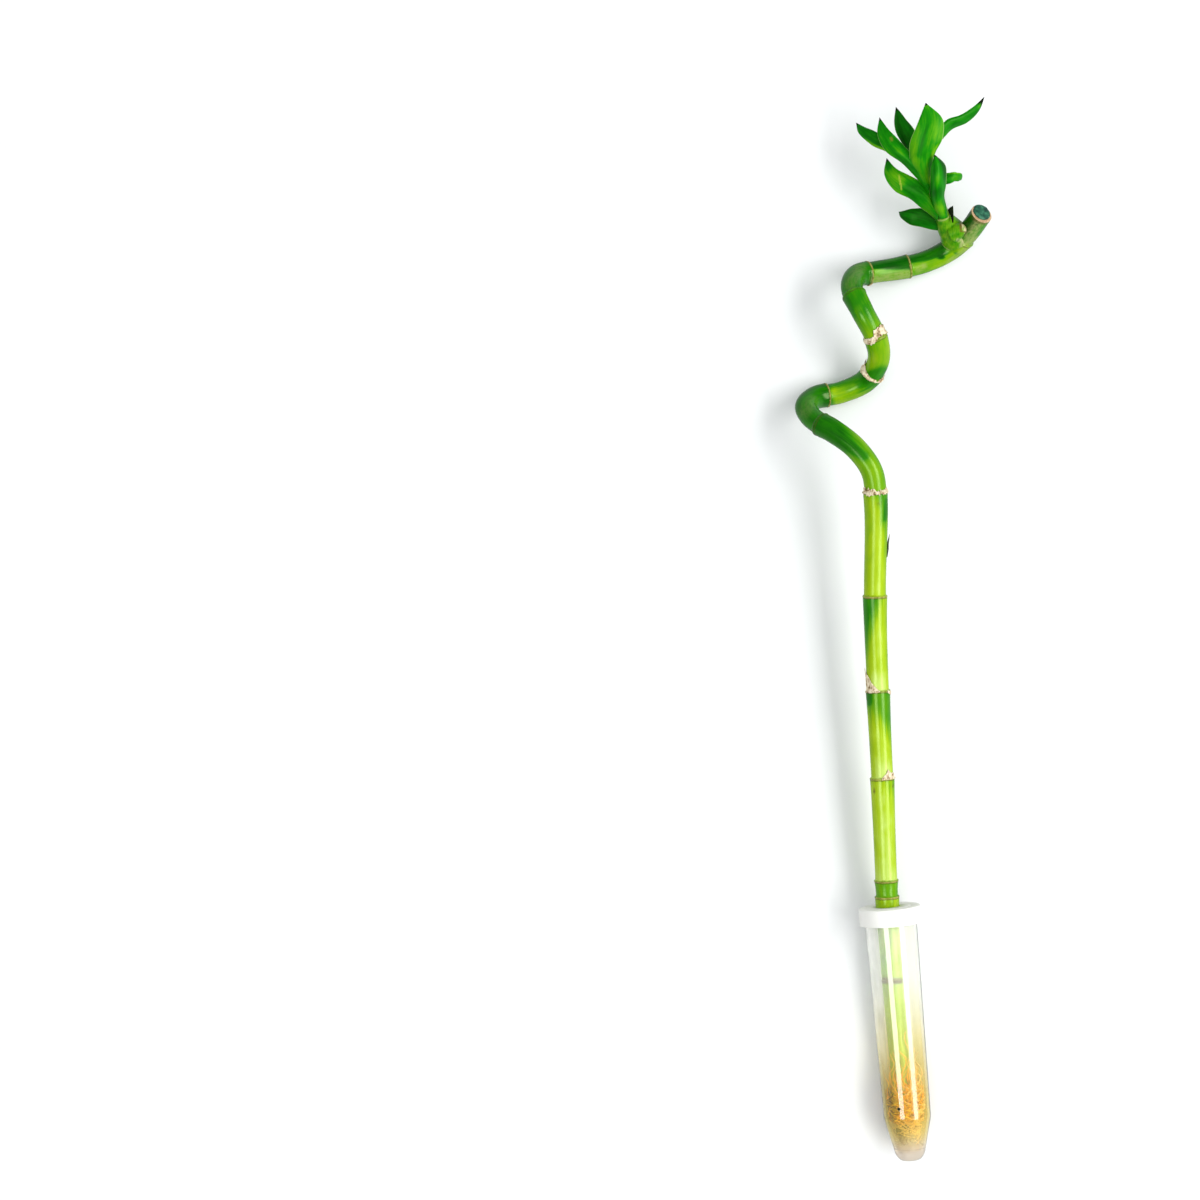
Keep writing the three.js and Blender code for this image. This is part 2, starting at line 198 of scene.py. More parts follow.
ROOM_COLOUR = (0.97, 0.99, 1.0, 1)
ROOM_LOW = 0.4  # the room's light from the horizon
ROOM_HIGH = 1.3  # and from overhead
ROOM_SHINE = 0.09  # in reflections, where a real room is darker than its lamps
FLOOR_SHINE = 0.5  # and in those of the white floor
FLOOR_END = -0.1  # how steeply a reflection looks up where the floor's shine starts to fade
ROOM_START = 0.25  # and where only the room's is left
world = bpy.data.worlds.new("pale_room")
world.use_nodes = True
sky = world.node_tree.nodes
room = sky["Background"]
direction = sky.new("ShaderNodeTexCoord")
height = sky.new("ShaderNodeSeparateXYZ")
rays = sky.new("ShaderNodeLightPath")
graded = sky.new("ShaderNodeMapRange")
shine = sky.new("ShaderNodeMapRange")
strength = sky.new("ShaderNodeMapRange")
for node, label, value in (
    (room, "Color", ROOM_COLOUR),
    (graded, "To Min", ROOM_LOW),
    (graded, "To Max", ROOM_HIGH),
    (shine, "From Min", FLOOR_END),
    (shine, "From Max", ROOM_START),
    (shine, "To Min", FLOOR_SHINE),
    (shine, "To Max", ROOM_SHINE),
):
    node.inputs[label].default_value = value
for source, target in (
    (direction.outputs["Generated"], height.inputs[0]),
    (height.outputs["Z"], graded.inputs["Value"]),
    (height.outputs["Z"], shine.inputs["Value"]),
    (shine.outputs[0], strength.inputs["To Max"]),
    (rays.outputs["Is Glossy Ray"], strength.inputs["Value"]),
    (graded.outputs[0], strength.inputs["To Min"]),
    (strength.outputs[0], room.inputs["Strength"]),
):
    world.node_tree.links.new(source, target)
bpy.context.scene.world = world
bpy.context.scene.view_settings.view_transform = "Standard"

LAMP_DISTANCE = 1.55


def soft_box(name, lean, along, width, length, radiance, lights=True, shines=True):
    """A lamp that leans so many degrees from overhead, to the right where positive."""
    lamp = bpy.data.lights.new(name, "AREA")
    lamp.shape = "RECTANGLE"
    lamp.size = width
    lamp.size_y = length
    lamp.energy = radiance * math.pi * width * length
    thing = link(bpy.data.objects.new(name, lamp))
    lean = math.radians(lean)
    thing.location = (LAMP_DISTANCE * math.sin(lean), along, LAMP_DISTANCE * math.cos(lean))
    thing.rotation_euler = (0, lean, 0)
    thing.visible_camera = False
    thing.visible_diffuse = lights
    thing.visible_glossy = shines


soft_box("soft_box_right", 41, 0, 0.56, 1.5, 7.9)
soft_box("soft_box_left", -38, 0, 0.7, 1.2, 0.6, shines=False)
soft_box("window_left", -27, -0.5, 0.6, 0.6, 7, lights=False)
soft_box("window_right", 41, 0, 0.95, 1.5, 1.3, lights=False)

# ---- cane ----
# One living stem of green segments with a raised leaf scar at every joint. It was turned to
# the light as it grew, which left two turns of spiral, and its top was cut off square.
MM = 0.001
CANE_LINE = [
    (7.5, -249.4, 9.8), (1.1, -177.2, 12.3), (-1.5, -142.9, 14.1), (-4.4, -82.7, 18.8),
    (-6.7, -40.3, 21.8), (-8.3, 1.4, 25.3), (-8.4, 44.7, 31.4), (-10.3, 58.9, 33.3),
    (-17.8, 69.8, 32.6), (-28.3, 78.2, 28.6), (-33.8, 81.5, 25.0), (-38.0, 85.5, 20.0),
    (-39.5, 90.0, 15.0), (-34.5, 94.6, 8.2), (-23.0, 97.1, 5.2), (-11.6, 102.2, 8.8),
    (-6.1, 111.3, 17.8), (-7.9, 121.0, 25.6), (-14.5, 133.2, 29.3), (-18.8, 144.2, 23.6),
    (-15.7, 150.9, 14.4), (-7.9, 153.0, 9.8), (5.0, 155.3, 6.5), (17.7, 158.7, 5.2),
    (28.3, 164.0, 7.2), (35.7, 170.9, 14.6), (40.9, 178.4, 26.0),
]
# Millimetres from joint to joint, the first from the foot, and then the sizes of the stem.
INTERNODES = [72.5, 39.5, 7.6, 48, 40.8, 44.1, 48.6, 43.2, 31, 26, 22, 22, 23, 20.5, 30.5]
JOINTS = np.cumsum(INTERNODES)
FOOT_RADIUS = 4.6  # the lowest segment's
SLIM_RADIUS = 5.1  # the others', just above a joint
FLARE = 0.6  # how much wider a segment gets up to the next joint
RIDGE = 0.12  # the swelling under a joint
RIDGE_WIDTH = 0.3
LEDGE = 0.5  # the step at a joint
LEDGE_WIDTH = 0.35
CANE_SAMPLES = 40  # to each span of its line
CANE_SIDES = 56
TIP_BESIDE_CANE = Vector((9.7, -261.3, 10.27))  # the tube's tip, measured with the cane's line

tube_tip = Vector(frame["record"]["mounts"][0]["pos_m"])
CANE_SHIFT = tube_tip - TIP_BESIDE_CANE * MM


def smooth_line(points, samples):
    """A centripetal Catmull-Rom line through points, with so many samples to a span."""
    points = np.asarray(points, float)
    ends = (2 * points[0] - points[1], 2 * points[-1] - points[-2])
    p = np.vstack([ends[0], points, ends[1]])
    t = np.linspace(0, 1, samples, endpoint=False)[:, None]
    spans = []
    for i in range(1, len(p) - 2):
        a, b, c, d = p[i - 1:i + 3]
        ab, bc, cd = (max(np.linalg.norm(q) ** 0.5, 1e-6) for q in (b - a, c - b, d - c))
        slope_b = ((b - a) / ab - (c - a) / (ab + bc) + (c - b) / bc) * bc
        slope_c = ((c - b) / bc - (d - b) / (bc + cd) + (d - c) / cd) * bc
        spans.append(
            (2 * t**3 - 3 * t**2 + 1) * b + (t**3 - 2 * t**2 + t) * slope_b
            + (3 * t**2 - 2 * t**3) * c + (t**3 - t**2) * slope_c
        )
    return np.vstack([*spans, points[-1:]])


def distances_along(points):
    return np.append(0, np.cumsum(np.linalg.norm(np.diff(points, axis=0), axis=1)))


class Line:
    """A line in space, read by the distance along it, with directions across it."""

    def __init__(self, points):
        self.points = points
        self.reach = distances_along(points)
        self.length = self.reach[-1]
        self.tangents = np.gradient(points, self.reach, axis=0)

    def read(self, table, distance):
        return np.stack([np.interp(distance, self.reach, table[:, k]) for k in range(3)], axis=-1)

    def at(self, distance):
        return self.read(self.points, distance)

    def axes(self, distance):
        """The tangent, the direction nearest to up, and the one to the right of travel."""
        tangent = self.read(self.tangents, distance)
        tangent = tangent / np.linalg.norm(tangent, axis=-1, keepdims=True)
        up = np.array((0, 0, 1.0)) - tangent * tangent[..., 2:3]
        up = up / np.linalg.norm(up, axis=-1, keepdims=True)
        return tangent, up, np.cross(tangent, up)


cane_line = Line(smooth_line(np.array(CANE_LINE) * MM + np.array(CANE_SHIFT), CANE_SAMPLES))
joints = JOINTS * MM


def segments_at(distance):
    """The number of the segment at each distance, its start, its end and the share of it passed."""
    ends = np.concatenate([[0], joints, [cane_line.length]])
    segment = np.clip(np.searchsorted(ends, distance, side="right") - 1, 0, len(joints))
    start, end = ends[segment], ends[segment + 1]
    return segment, start, end, (distance - start) / (end - start)


def cane_radius(distance):
    """Slim above a joint, flaring up to the next one, with a low ridge at the joint itself."""
    segment, _, _, share = segments_at(distance)
    radius = np.where(segment == 0, FOOT_RADIUS, SLIM_RADIUS)
    radius = radius + np.where(segment == len(joints), 0, FLARE) * share**2.4
    for joint in JOINTS:
        past = distance / MM - joint
        radius = radius + RIDGE * np.exp(-((past + RIDGE_WIDTH) / RIDGE_WIDTH) ** 2)
        radius = radius + LEDGE * np.exp(-(np.maximum(past, 0) / LEDGE_WIDTH) ** 2) * (past > 0)
    return radius * MM


def round_sweep_tree(name):
    """Geometry Nodes that give a line of points round sections of the width stored on it."""
    tree = bpy.data.node_groups.new(name, "GeometryNodeTree")
    tree.interface.new_socket("Line", in_out="INPUT", socket_type="NodeSocketGeometry")
    tree.interface.new_socket("Sides", in_out="INPUT", socket_type="NodeSocketInt")
    tree.interface.new_socket("Material", in_out="INPUT", socket_type="NodeSocketMaterial")
    tree.interface.new_socket("Stem", in_out="OUTPUT", socket_type="NodeSocketGeometry")
    add = tree.nodes.new
    entry, leave = add("NodeGroupInput"), add("NodeGroupOutput")
    curve, ring, width, skin, smooth, real, finish = (
        add("GeometryNode" + kind)
        for kind in (
            "MeshToCurve", "CurvePrimitiveCircle", "InputNamedAttribute", "CurveToMesh",
            "SetShadeSmooth", "RealizeInstances", "SetMaterial",
        )
    )
    width.inputs["Name"].default_value = "half_width"
    skin.inputs["Fill Caps"].default_value = True
    for source, target in (
        (entry.outputs["Line"], curve.inputs[0]),
        (entry.outputs["Sides"], ring.inputs["Resolution"]),
        (curve.outputs[0], skin.inputs["Curve"]),
        (ring.outputs["Curve"], skin.inputs["Profile Curve"]),
        (width.outputs["Attribute"], skin.inputs["Scale"]),
        (skin.outputs[0], smooth.inputs[0]),
        (smooth.outputs[0], real.inputs[0]),
        (real.outputs[0], finish.inputs["Geometry"]),
        (entry.outputs["Material"], finish.inputs["Material"]),
        (finish.outputs[0], leave.inputs[0]),
    ):
        tree.links.new(source, target)
    return tree


round_sweep = round_sweep_tree("round_sweep")


def settle(piece):
    """Turns what a piece's modifiers make into its plain mesh."""
    graph = bpy.context.evaluated_depsgraph_get()
    mesh = bpy.data.meshes.new_from_object(piece.evaluated_get(graph))
    raw = piece.data
    piece.modifiers.clear()
    piece.data = mesh
    mesh.name = piece.name
    bpy.data.meshes.remove(raw)
    return mesh


def store(mesh, label, values):
    """Keeps one number, or one place, for each vertex, for nodes to read."""
    kind, field = ("FLOAT", "value") if values.ndim == 1 else ("FLOAT_VECTOR", "vector")
    mesh.attributes.new(label, kind, "POINT").data.foreach_set(field, values.astype(float).ravel())


def sweep(name, strands, sides, material):
    """Round strands, each given as its points and half widths, as one piece."""
    places = np.vstack([points for points, _ in strands])
    numbers = np.repeat(range(len(strands)), [len(points) for points, _ in strands])
    edges = [(k, k + 1) for k in range(len(places) - 1) if numbers[k] == numbers[k + 1]]
    mesh = bpy.data.meshes.new(name)
    mesh.from_pydata(places.tolist(), edges, [])
    store(mesh, "half_width", np.concatenate([half_widths for _, half_widths in strands]))
    store(mesh, "reach", np.concatenate([distances_along(points) for points, _ in strands]))
    store(mesh, "strand", numbers)
    piece = link(bpy.data.objects.new(name, mesh))
    maker = piece.modifiers.new("round_sweep", "NODES")
    maker.node_group = round_sweep
    given = {"Sides": sides, "Material": material}
    for item in round_sweep.interface.items_tree:
        if item.name in given:
            maker[item.identifier] = given[item.name]
    settle(piece)
    return piece


def vertices_of(mesh):
    places = np.zeros(len(mesh.vertices) * 3)
    mesh.vertices.foreach_get("co", places)
    return places.reshape(-1, 3)


def values_of(mesh, label):
    values = np.zeros(len(mesh.vertices))
    mesh.attributes[label].data.foreach_get("value", values)
    return values


def ease(value, low, high):
    """0 below low, 1 above high, and a soft step between."""
    share = np.clip((value - low) / (high - low), 0, 1)
    return share * share * (3 - 2 * share)


# Each segment is darker where the old leaf sheath kept the sun, up from a slanting edge. For each:
# the share of its length at which that edge lies on its dark side and on its light side, the dark
# side in degrees round from the top, and the tones (0 lime, 1 deep green) of its dark part, of its
# light part and of its lower end.
# Tones below 0 on the straight segments are partly the cane's paler lime and partly painted highlight.
SHADE = [
    (0.6, 0.9, 40, 0.02, -0.2, -0.1), (-1, 1.6, -90, 0.15, -0.15, -0.1), (-2, -2, 0, 0.34, 0.22, 0.22),
    (0.85, 1.1, 90, 0.35, -0.16, -0.3), (0.42, 0.8, 90, 0.46, -0.13, -0.34),
    (0.4, 1.25, -88, 0.58, -0.08, -0.34), (0.62, 1.15, 85, 0.48, -0.04, -0.12),
    (0.5, 0.85, -20, 0.86, 0.3, 0.2), (-2, -2, 0, 0.74, 0.74, 0.74), (-0.2, 0.8, -95, 0.66, 0.15, 0.15),
    (0.5, 1.4, -90, 0.42, 0.2, 0.24), (0.4, 0.4, 0, 0.6, 0.4, 0.15), (-2, -2, 0, 0.76, 0.76, 0.76),
    (-1.3, 2.0, -90, 0.92, 0.35, 0.35), (-1.3, 1.8, -90, 0.9, 0.28, 0.36), (-1.4, 2.2, -90, 1.05, 0.5, 0.5),
]
# How much of a dry tan line is left at each joint.
RING_TAN = [0.2, 0.9, 0.9, 0.8, 0.7, 0.9, 0.5, 0.0, 0.9, 0.5, 0.5, 0.0, 0.8, 0.8, 0.15]
# Brushed marks, in pixels of the photograph: from, to, half width and strength.
DARK_MARKS = [
    ((868, 693), (868, 702), 4, 0.5), ((842, 441), (864, 456), 5, 0.45), ((866, 378), (884, 372), 6, 0.6),
    ((826, 386), (829, 405), 5, 0.5), ((846, 300), (852, 316), 4, 0.4), ((887, 500), (885, 520), 2, 0.4),
    ((963, 227), (971, 216), 4.5, 0.9), ((939.5, 257), (942.5, 257), 2.2, 1),
    ((955.3, 251), (955.7, 253), 1.6, 1),
]
LIGHT_MARKS = [
    ((836, 393), (852, 390), 6, 0.7), ((868, 296), (856, 312), 3, 0.2), ((950, 249), (966, 246), 5, 0.75),
]
PALE_AND_HIGHLIGHT_MARKS = [
    ((874, 280), (908, 274), 4, 0.5), ((918, 270), (924, 266), 3, 0.4), ((971, 234), (981, 219), 4.5, 0.65),
    ((960, 244), (976, 240), 4, 0.6), ((966, 233), (972, 239), 4, 0.6), ((950, 262), (972, 245), 3, 0.35),
    # These two are painted highlights on the spiral's two left turns; the others are pale scuffs.
    ((804, 412), (812, 402), 6, 0.12), ((850, 284), (860, 268), 6, 0.16),
]
BROWN_MARKS = [
    ((874, 790), (874.3, 793), 0.9, 0.9), ((893, 785), (893.2, 787), 0.7, 0.8),
    ((878, 504), (880, 503), 1.2, 0.35), ((975, 219), (983, 222.5), 2.6, 0.35),
    ((985, 232), (991, 224), 3, 0.22), ((881, 980), (900, 981), 3, 0.8),
]
DARK_TONE = 0.95  # the least under a dark mark
LIGHT_TONE = 0.2  # and the most under a light one
PAINTED_SIDE_SHADE = 0.16  # painted shade: how much darker the light part is on the cane's sides than on its top
STRAIGHT_SEGMENTS = 7  # the lowest ones, which have such sides
CUT_DEPTH = 0.02 * MM
FOOT_BROWN = 0.85
FOOT_BROWN_TO = (4 * MM, 9 * MM)  # up the cane's foot, where it fades out


def brushed(places, facing, marks):
    """How strongly marks cover the vertices that face the camera. A mark fades out at its edge, from
    half of its half width to one and a half of it."""
    pixels = pixels_of(places)
    cover = np.zeros(len(places))
    for start, end, half_width, strength in marks:
        start, end = np.array(start, float), np.array(end, float)
        way = end - start
        share = np.clip(((pixels - start) @ way) / (way @ way), 0, 1)
        gap = np.linalg.norm(pixels - start - share[:, None] * way, axis=1)
        cover = np.maximum(cover, strength * (1 - ease(gap, 0.5 * half_width, 1.5 * half_width)))
    return cover * ease(facing, -0.3, 0.2)


def paint_cane(mesh):
    places = vertices_of(mesh)
    reach = values_of(mesh, "reach")
    _, up, side = cane_line.axes(reach)
    out = places - cane_line.at(reach)
    away = np.linalg.norm(out, axis=1, keepdims=True)
    out = out / np.maximum(away, 1e-6)
    facing = out[:, 2]
    angle = np.arctan2((out * side).sum(1), (out * up).sum(1))
    segment, start, end, share = segments_at(reach)
    dark_from, light_from, dark_side, dark, light, low = np.array(SHADE)[segment].T
    turn = (1 - np.cos(angle - np.radians(dark_side))) / 2
    light = low + (light - low) * ease(share, 0.0, 0.4)
    # Painted shade: the light part of the straight segments is darker towards both sides.
    left, right = ease(-np.sin(angle), 0.15, 0.95), ease(np.sin(angle), 0.5, 0.95)
    light = light + (PAINTED_SIDE_SHADE * left + PAINTED_SIDE_SHADE * right) * (segment < STRAIGHT_SEGMENTS)
    shadowed = brushed(places, facing, DARK_MARKS)
    bared = brushed(places, facing, LIGHT_MARKS)
    for label, tone in (("dark", dark), ("light", light)):
        tone = tone + (np.maximum(tone, DARK_TONE) - tone) * shadowed
        store(mesh, label, tone + (np.minimum(tone, LIGHT_TONE) - tone) * bared)
    store(mesh, "wedge", share - dark_from - (light_from - dark_from) * turn)
    store(mesh, "cut", (reach > reach.max() - CUT_DEPTH).astype(float))
    store(mesh, "pale", brushed(places, facing, PALE_AND_HIGHLIGHT_MARKS))
    foot = FOOT_BROWN * (1 - ease(reach, *FOOT_BROWN_TO))
    store(mesh, "brown", np.maximum(foot, brushed(places, facing, BROWN_MARKS)))
    nearest = np.abs(reach[:, None] - joints).argmin(axis=1)
    store(mesh, "ring_tan", np.array(RING_TAN)[nearest])
    store(mesh, "past_joint", reach - start)
    store(mesh, "to_joint", end - reach)
    radius = cane_radius(reach)
    store(mesh, "grain", np.stack([radius * np.cos(angle), radius * np.sin(angle), reach], axis=1))


def cane_finish():
    m = Nodes("cane_skin")
    grain = m.attribute("grain", "Vector")
    blotches = m.noise(grain, (170, 170, 70), 4)
    fibres = m.noise(grain, (1400, 1400, 40))
    specks = m.noise(grain, (900, 900, 500), 2)
    wedge = m.math("ADD", m.attribute("wedge"), m.spread(fibres, 0.3, 0.7, -0.08, 0.08))
    # Its upper end is rounded off, by 0.03 at most.
    wedge = m.math("SMOOTH_MIN", m.spread(wedge, -0.13, 0.2), 1, 0.2)
    span = m.math("SUBTRACT", m.attribute("dark"), m.attribute("light"))
    tone = m.math("MULTIPLY_ADD", wedge, span, m.attribute("light"))
    tone = m.math("ADD", tone, m.spread(blotches, 0.3, 0.7, -0.12, 0.12))
    tone = m.math("ADD", tone, m.spread(fibres, 0.3, 0.7, -0.045, 0.045))
    # The palest stops, for tones below 0, are partly paler lime and partly painted highlight.
    green = m.ramp(
        m.spread(tone, -0.3, 1.2),
        (0.0, (0.45, 0.6, 0.12)),
        (0.12, (0.34, 0.49, 0.012)),
        (0.21, (0.275, 0.425, 0.0005)),
        (0.4, (0.11, 0.305, 0.0004)),
        (0.6, (0.016, 0.19, 0.0003)),
        (0.83, (0.0003, 0.078, 0.0003)),
        (1.0, (0.0003, 0.04, 0.0003)),
    )
    # Pale scuffs, and painted highlights on the spiral's two left turns.
    pale = m.math("MULTIPLY", m.attribute("pale"), m.spread(specks, 0.35, 0.55, 0.35, 1.0))
    colour = m.mix(pale, green, (0.34, 0.37, 0.12))
    ragged = m.spread(m.noise(grain, (700, 700, 200)), 0.25, 0.75, -0.0003, 0.0003)
    below = m.math("ADD", m.attribute("to_joint"), ragged)
    above = m.math("ADD", m.attribute("past_joint"), ragged)
    scar = m.mix(m.spread(specks, 0.35, 0.65), (0.17, 0.15, 0.02), (0.36, 0.32, 0.09))
    edge = m.spread(below, 0.0002, 0.0005, 0.7, 0)
    colour = m.mix(edge, colour, (0.05, 0.06, 0.01))
    left = m.math("MULTIPLY", m.attribute("ring_tan"), m.spread(below, 0.0006, 0.001))
    left = m.math("SUBTRACT", m.attribute("ring_tan"), left, clamp=True)
    colour = m.mix(left, colour, scar)
    thin_line = m.math("MULTIPLY", m.spread(below, 0.0007, 0.0009), m.spread(below, 0.001, 0.0013, 1, 0))
    colour = m.mix(m.math("MULTIPLY", thin_line, 0.7), colour, (0.05, 0.04, 0.01))
    colour = m.mix(m.spread(above, 0.0001, 0.0005, 0.75, 0), colour, (0.06, 0.05, 0.01))
    colour = m.mix(m.attribute("brown"), colour, (0.11, 0.055, 0.016))
    bark = m.mix(m.spread(specks, 0.35, 0.65), (0.38, 0.23, 0.12), (0.56, 0.38, 0.23))
    colour = m.mix(m.attribute("cut"), colour, bark)
    m.set(base_color=colour, roughness=m.spread(blotches, 0.3, 0.7, 0.17, 0.26))
    m.set(specular_ior_level=0.42, specular_tint=(0.8, 1, 0.5))
    m.bump(m.math("ADD", m.math("MULTIPLY", fibres, 0.6), specks), 0.08, 0.0004)
    return m.material


def joint_steps(coarse, fine, near):
    """Distances along the cane: coarse steps, with fine ones near each joint and the top."""
    steps = list(np.arange(0, cane_line.length, coarse))
    for mark in [*joints, cane_line.length]:
        steps.extend(np.arange(mark - near, mark + near, fine))
    steps = np.array(sorted(s for s in steps if 0 <= s < cane_line.length))
    keep = np.append(True, np.diff(steps) > 0.4 * fine)
    return np.append(steps[keep], cane_line.length)


cane_steps = joint_steps(coarse=1.1 * MM, fine=0.22 * MM, near=1.8 * MM)
cane_strand = (cane_line.at(cane_steps), cane_radius(cane_steps))
cane_stem = sweep("cane_stem", [cane_strand], CANE_SIDES, cane_finish())
paint_cane(cane_stem.data)
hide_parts("cane")
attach(cane_stem, "root")

# ---- dry sheath scraps ----
# What is left of the old leaf sheaths: papery tan collars and torn triangles, a fraction of a
# millimetre thick, that grew from the joints and still cling to the cane.
SCRAP_THICKNESS = 0.22 * MM
SCRAP_GAP = 0.1 * MM
SCRAP_CRUMPLE = 0.12 * MM
SCRAP_STEP = 2.2  # degrees from column to column
SCRAP_ROWS = 8
# The joint; along the torn edge, degrees round from the top, and how far the scrap reaches below
# and above the joint in millimetres; and how ragged it is.
SCRAPS = [
    (6, [(-95, -0.3, 1.5), (-60, -1.0, 2.2), (-35, -1.6, 1.0), (-10, -1.2, 1.5), (20, -0.7, 0.9),
         (60, -1.0, 1.1), (95, -0.3, 0.7)], 0.5),
    (4, [(-100, -0.6, 10.8), (-60, -0.6, 7.5), (-25, -0.6, 2.6), (5, -0.4, 0.4)], 0.2),
    (4, [(45, -1.0, 0.2), (60, -1.6, -0.2), (85, -2.2, -0.6)], 0.15),
    (3, [(-6, -0.4, 0.3), (12, -0.4, 1.8), (26, -0.4, 4.2), (42, -0.4, 2.6), (70, -0.4, 2.2),
         (90, -0.3, 1.6)], 0.2),
    (9, [(-105, -2.2, 5.4), (-75, -1.8, 4.4), (-45, -1.4, 2.4), (-10, -1.0, 0.8), (40, -0.7, 0.3),
         (95, -1.3, 1.5)], 0.3),
    (10, [(-85, -1.6, 1.3), (-50, -2.0, 1.2), (-15, -1.4, 2.0), (-5, 0.2, 4.2), (35, 0.6, 4.4),
          (75, -0.6, 3.4)], 0.35),
    (12, [(70, -1.0, 0.4), (80, -1.4, 1.2), (100, -1.4, 1.4)], 0.3),
]


def closed_sheet(upper, lower, rows, columns):
    """Joins two grids of points into one closed body; returns its points and faces."""
    wide = columns + 1
    under = len(upper)
    faces = []
    for i in range(rows):
        for j in range(columns):
            a = i * wide + j
            faces.append((a, a + 1, a + wide + 1, a + wide))
            faces.append((under + a, under + a + wide, under + a + wide + 1, under + a + 1))
    rim = list(range(columns))
    rim += [i * wide + columns for i in range(rows)]
    rim += [rows * wide + j for j in range(columns, 0, -1)]
    rim += [i * wide for i in range(rows, 0, -1)]
    for k, a in enumerate(rim):
        b = rim[(k + 1) % len(rim)]
        faces.append((a, under + a, under + b, b))
    return np.vstack([upper, lower]), faces


def scrap_sheet(joint, profile, raggedness):
    """One torn scrap round the cane, as the points and faces of a closed sheet."""
    angles, lows, highs = np.array(profile, float).T
    columns = max(8, int((angles[-1] - angles[0]) / SCRAP_STEP))
    round_to = np.linspace(angles[0], angles[-1], columns + 1)
    turn = np.radians(round_to)[:, None]
    seed = joint + 0.5

    def uneven(closeness, second, third):
        places = [Vector((degrees * closeness, second, third)) for degrees in round_to]
        return np.array([noise.noise(place) for place in places])

    torn = uneven(0.09, seed, 0) + 0.6 * uneven(0.3, seed, 5)
    high = np.interp(round_to, angles, highs) + raggedness * 2.2 * torn
    torn = uneven(0.11, seed, 9) + 0.6 * uneven(0.33, seed, 3)
    low = np.interp(round_to, angles, lows) + raggedness * 1.6 * torn
    high = np.maximum(high, low + 0.15)
    points = []
    for lift in (SCRAP_GAP + SCRAP_THICKNESS, SCRAP_GAP):
        for share in np.linspace(0, 1, SCRAP_ROWS + 1):
            distance = joints[joint] + (low + (high - low) * share) * MM
            distance = np.clip(distance, 0, cane_line.length)
            _, up, side = cane_line.axes(distance)
            crumple = uneven(0.12, share * 4, seed)[:, None]
            curl = SCRAP_CRUMPLE * share**2 * np.clip(high - 1.2, 0, 3)[:, None]
            away = cane_radius(distance)[:, None] + lift + SCRAP_CRUMPLE * crumple * share + curl
            points.append(cane_line.at(distance) + away * (up * np.cos(turn) + side * np.sin(turn)))
    upper, lower = np.vstack(points[:SCRAP_ROWS + 1]), np.vstack(points[SCRAP_ROWS + 1:])
    return closed_sheet(upper, lower, SCRAP_ROWS, columns)


def solid_piece(name, parts, material):
    """One smooth piece from several closed bodies, each given as its points and faces."""
    points, faces = [], []
    first = 0
    for places, sides in parts:
        points.append(places)
        faces.extend(tuple(first + v for v in face) for face in sides)
        first += len(places)
    mesh = bpy.data.meshes.new(name)
    mesh.from_pydata(np.vstack(points).tolist(), [], faces)
    mesh.polygons.foreach_set("use_smooth", [True] * len(mesh.polygons))
    mesh.materials.append(material)
    return link(bpy.data.objects.new(name, mesh))


def papery_finish():
    m = Nodes("dry_sheath")
    place = m.object_place()
    fine = m.noise(place, (1800, 700, 1800), 4)
    broad = m.noise(place, 420)
    colour = m.ramp(
        m.math("ADD", m.math("MULTIPLY", broad, 0.6), m.math("MULTIPLY", fine, 0.4)),
        (0.38, (0.13, 0.075, 0.028)),
        (0.45, (0.46, 0.35, 0.2)),
        (0.56, (0.74, 0.65, 0.47)),
    )
    m.set(base_color=colour, roughness=0.8, specular_ior_level=0.15)
    m.bump(fine, 0.4, 0.0003)
    return m.material


sheath_scraps = solid_piece("sheath_scraps", [scrap_sheet(*scrap) for scrap in SCRAPS], papery_finish())
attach(sheath_scraps, "root")

# ---- sheath sliver ----
# A dark dried thread of old sheath, thinner than a pin, that has peeled off the cane's side and
# still hangs on by its lower end. It is a swept line, given by pixels of the photograph,
# millimetres above the floor and half widths in millimetres.
SLIVER = [(886.8, 557, 28, 0.3), (887.6, 549, 28.6, 0.5), (888.3, 541, 29.2, 0.35), (889.8, 534, 30, 0.08)]
SLIVER_SIDES = 8


def strand_through(places):
    """Points and half widths of a strand, for sweep, from places like those of the sliver."""
    points = smooth_line([spot(*place[:3]) for place in places], 8)
    half_widths = [place[3] * MM for place in places]
    spans = len(places) - 1
    return points, np.interp(np.linspace(0, spans, len(points)), range(spans + 1), half_widths)


def sliver_finish():
    m = Nodes("dried_thread")
    colour = m.ramp(m.noise(m.object_place(), 1500), (0.35, (0.01, 0.02, 0.006)), (0.6, (0.035, 0.05, 0.02)))
    m.set(base_color=colour, roughness=0.7, specular_ior_level=0.2)
    return m.material


sheath_sliver = sweep("sheath_sliver", [strand_through(SLIVER)], SLIVER_SIDES, sliver_finish())
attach(sheath_sliver, "root")

# ---- shoot stem ----
# The young side shoot: a soft lime stem that bulges out of the cane's last joint and narrows
# upwards inside the clasping bases of its leaves.
SHOOT_LINE = [
    (31.0, 168.9, 10.4), (29.3, 171.1, 12.9), (26.9, 173.5, 16.3), (24.1, 177.0, 21.3),
    (21.2, 182.5, 27), (18.5, 188.9, 31), (15.4, 195.4, 34), (13.0, 200.5, 35.5),
]
# Millimetres along it, and its radius there.
SHOOT_RADII = [
    (0, 7.4), (2.5, 7.1), (5, 6.3), (8, 5.8), (10, 5.4), (12.5, 4.7), (14.6, 4.0), (17.6, 3.5),
    (20, 3.0), (25, 2.9), (31, 2.7), (39, 2.1), (45, 1.4),
]
RING_AT = 17.4 * MM  # the leaf scar at the top of the bulge
RING_HEIGHT = 0.25 * MM
RING_WIDTH = 0.5 * MM
SHOOT_SIDES = 40
SHOOT_STEPS = 90
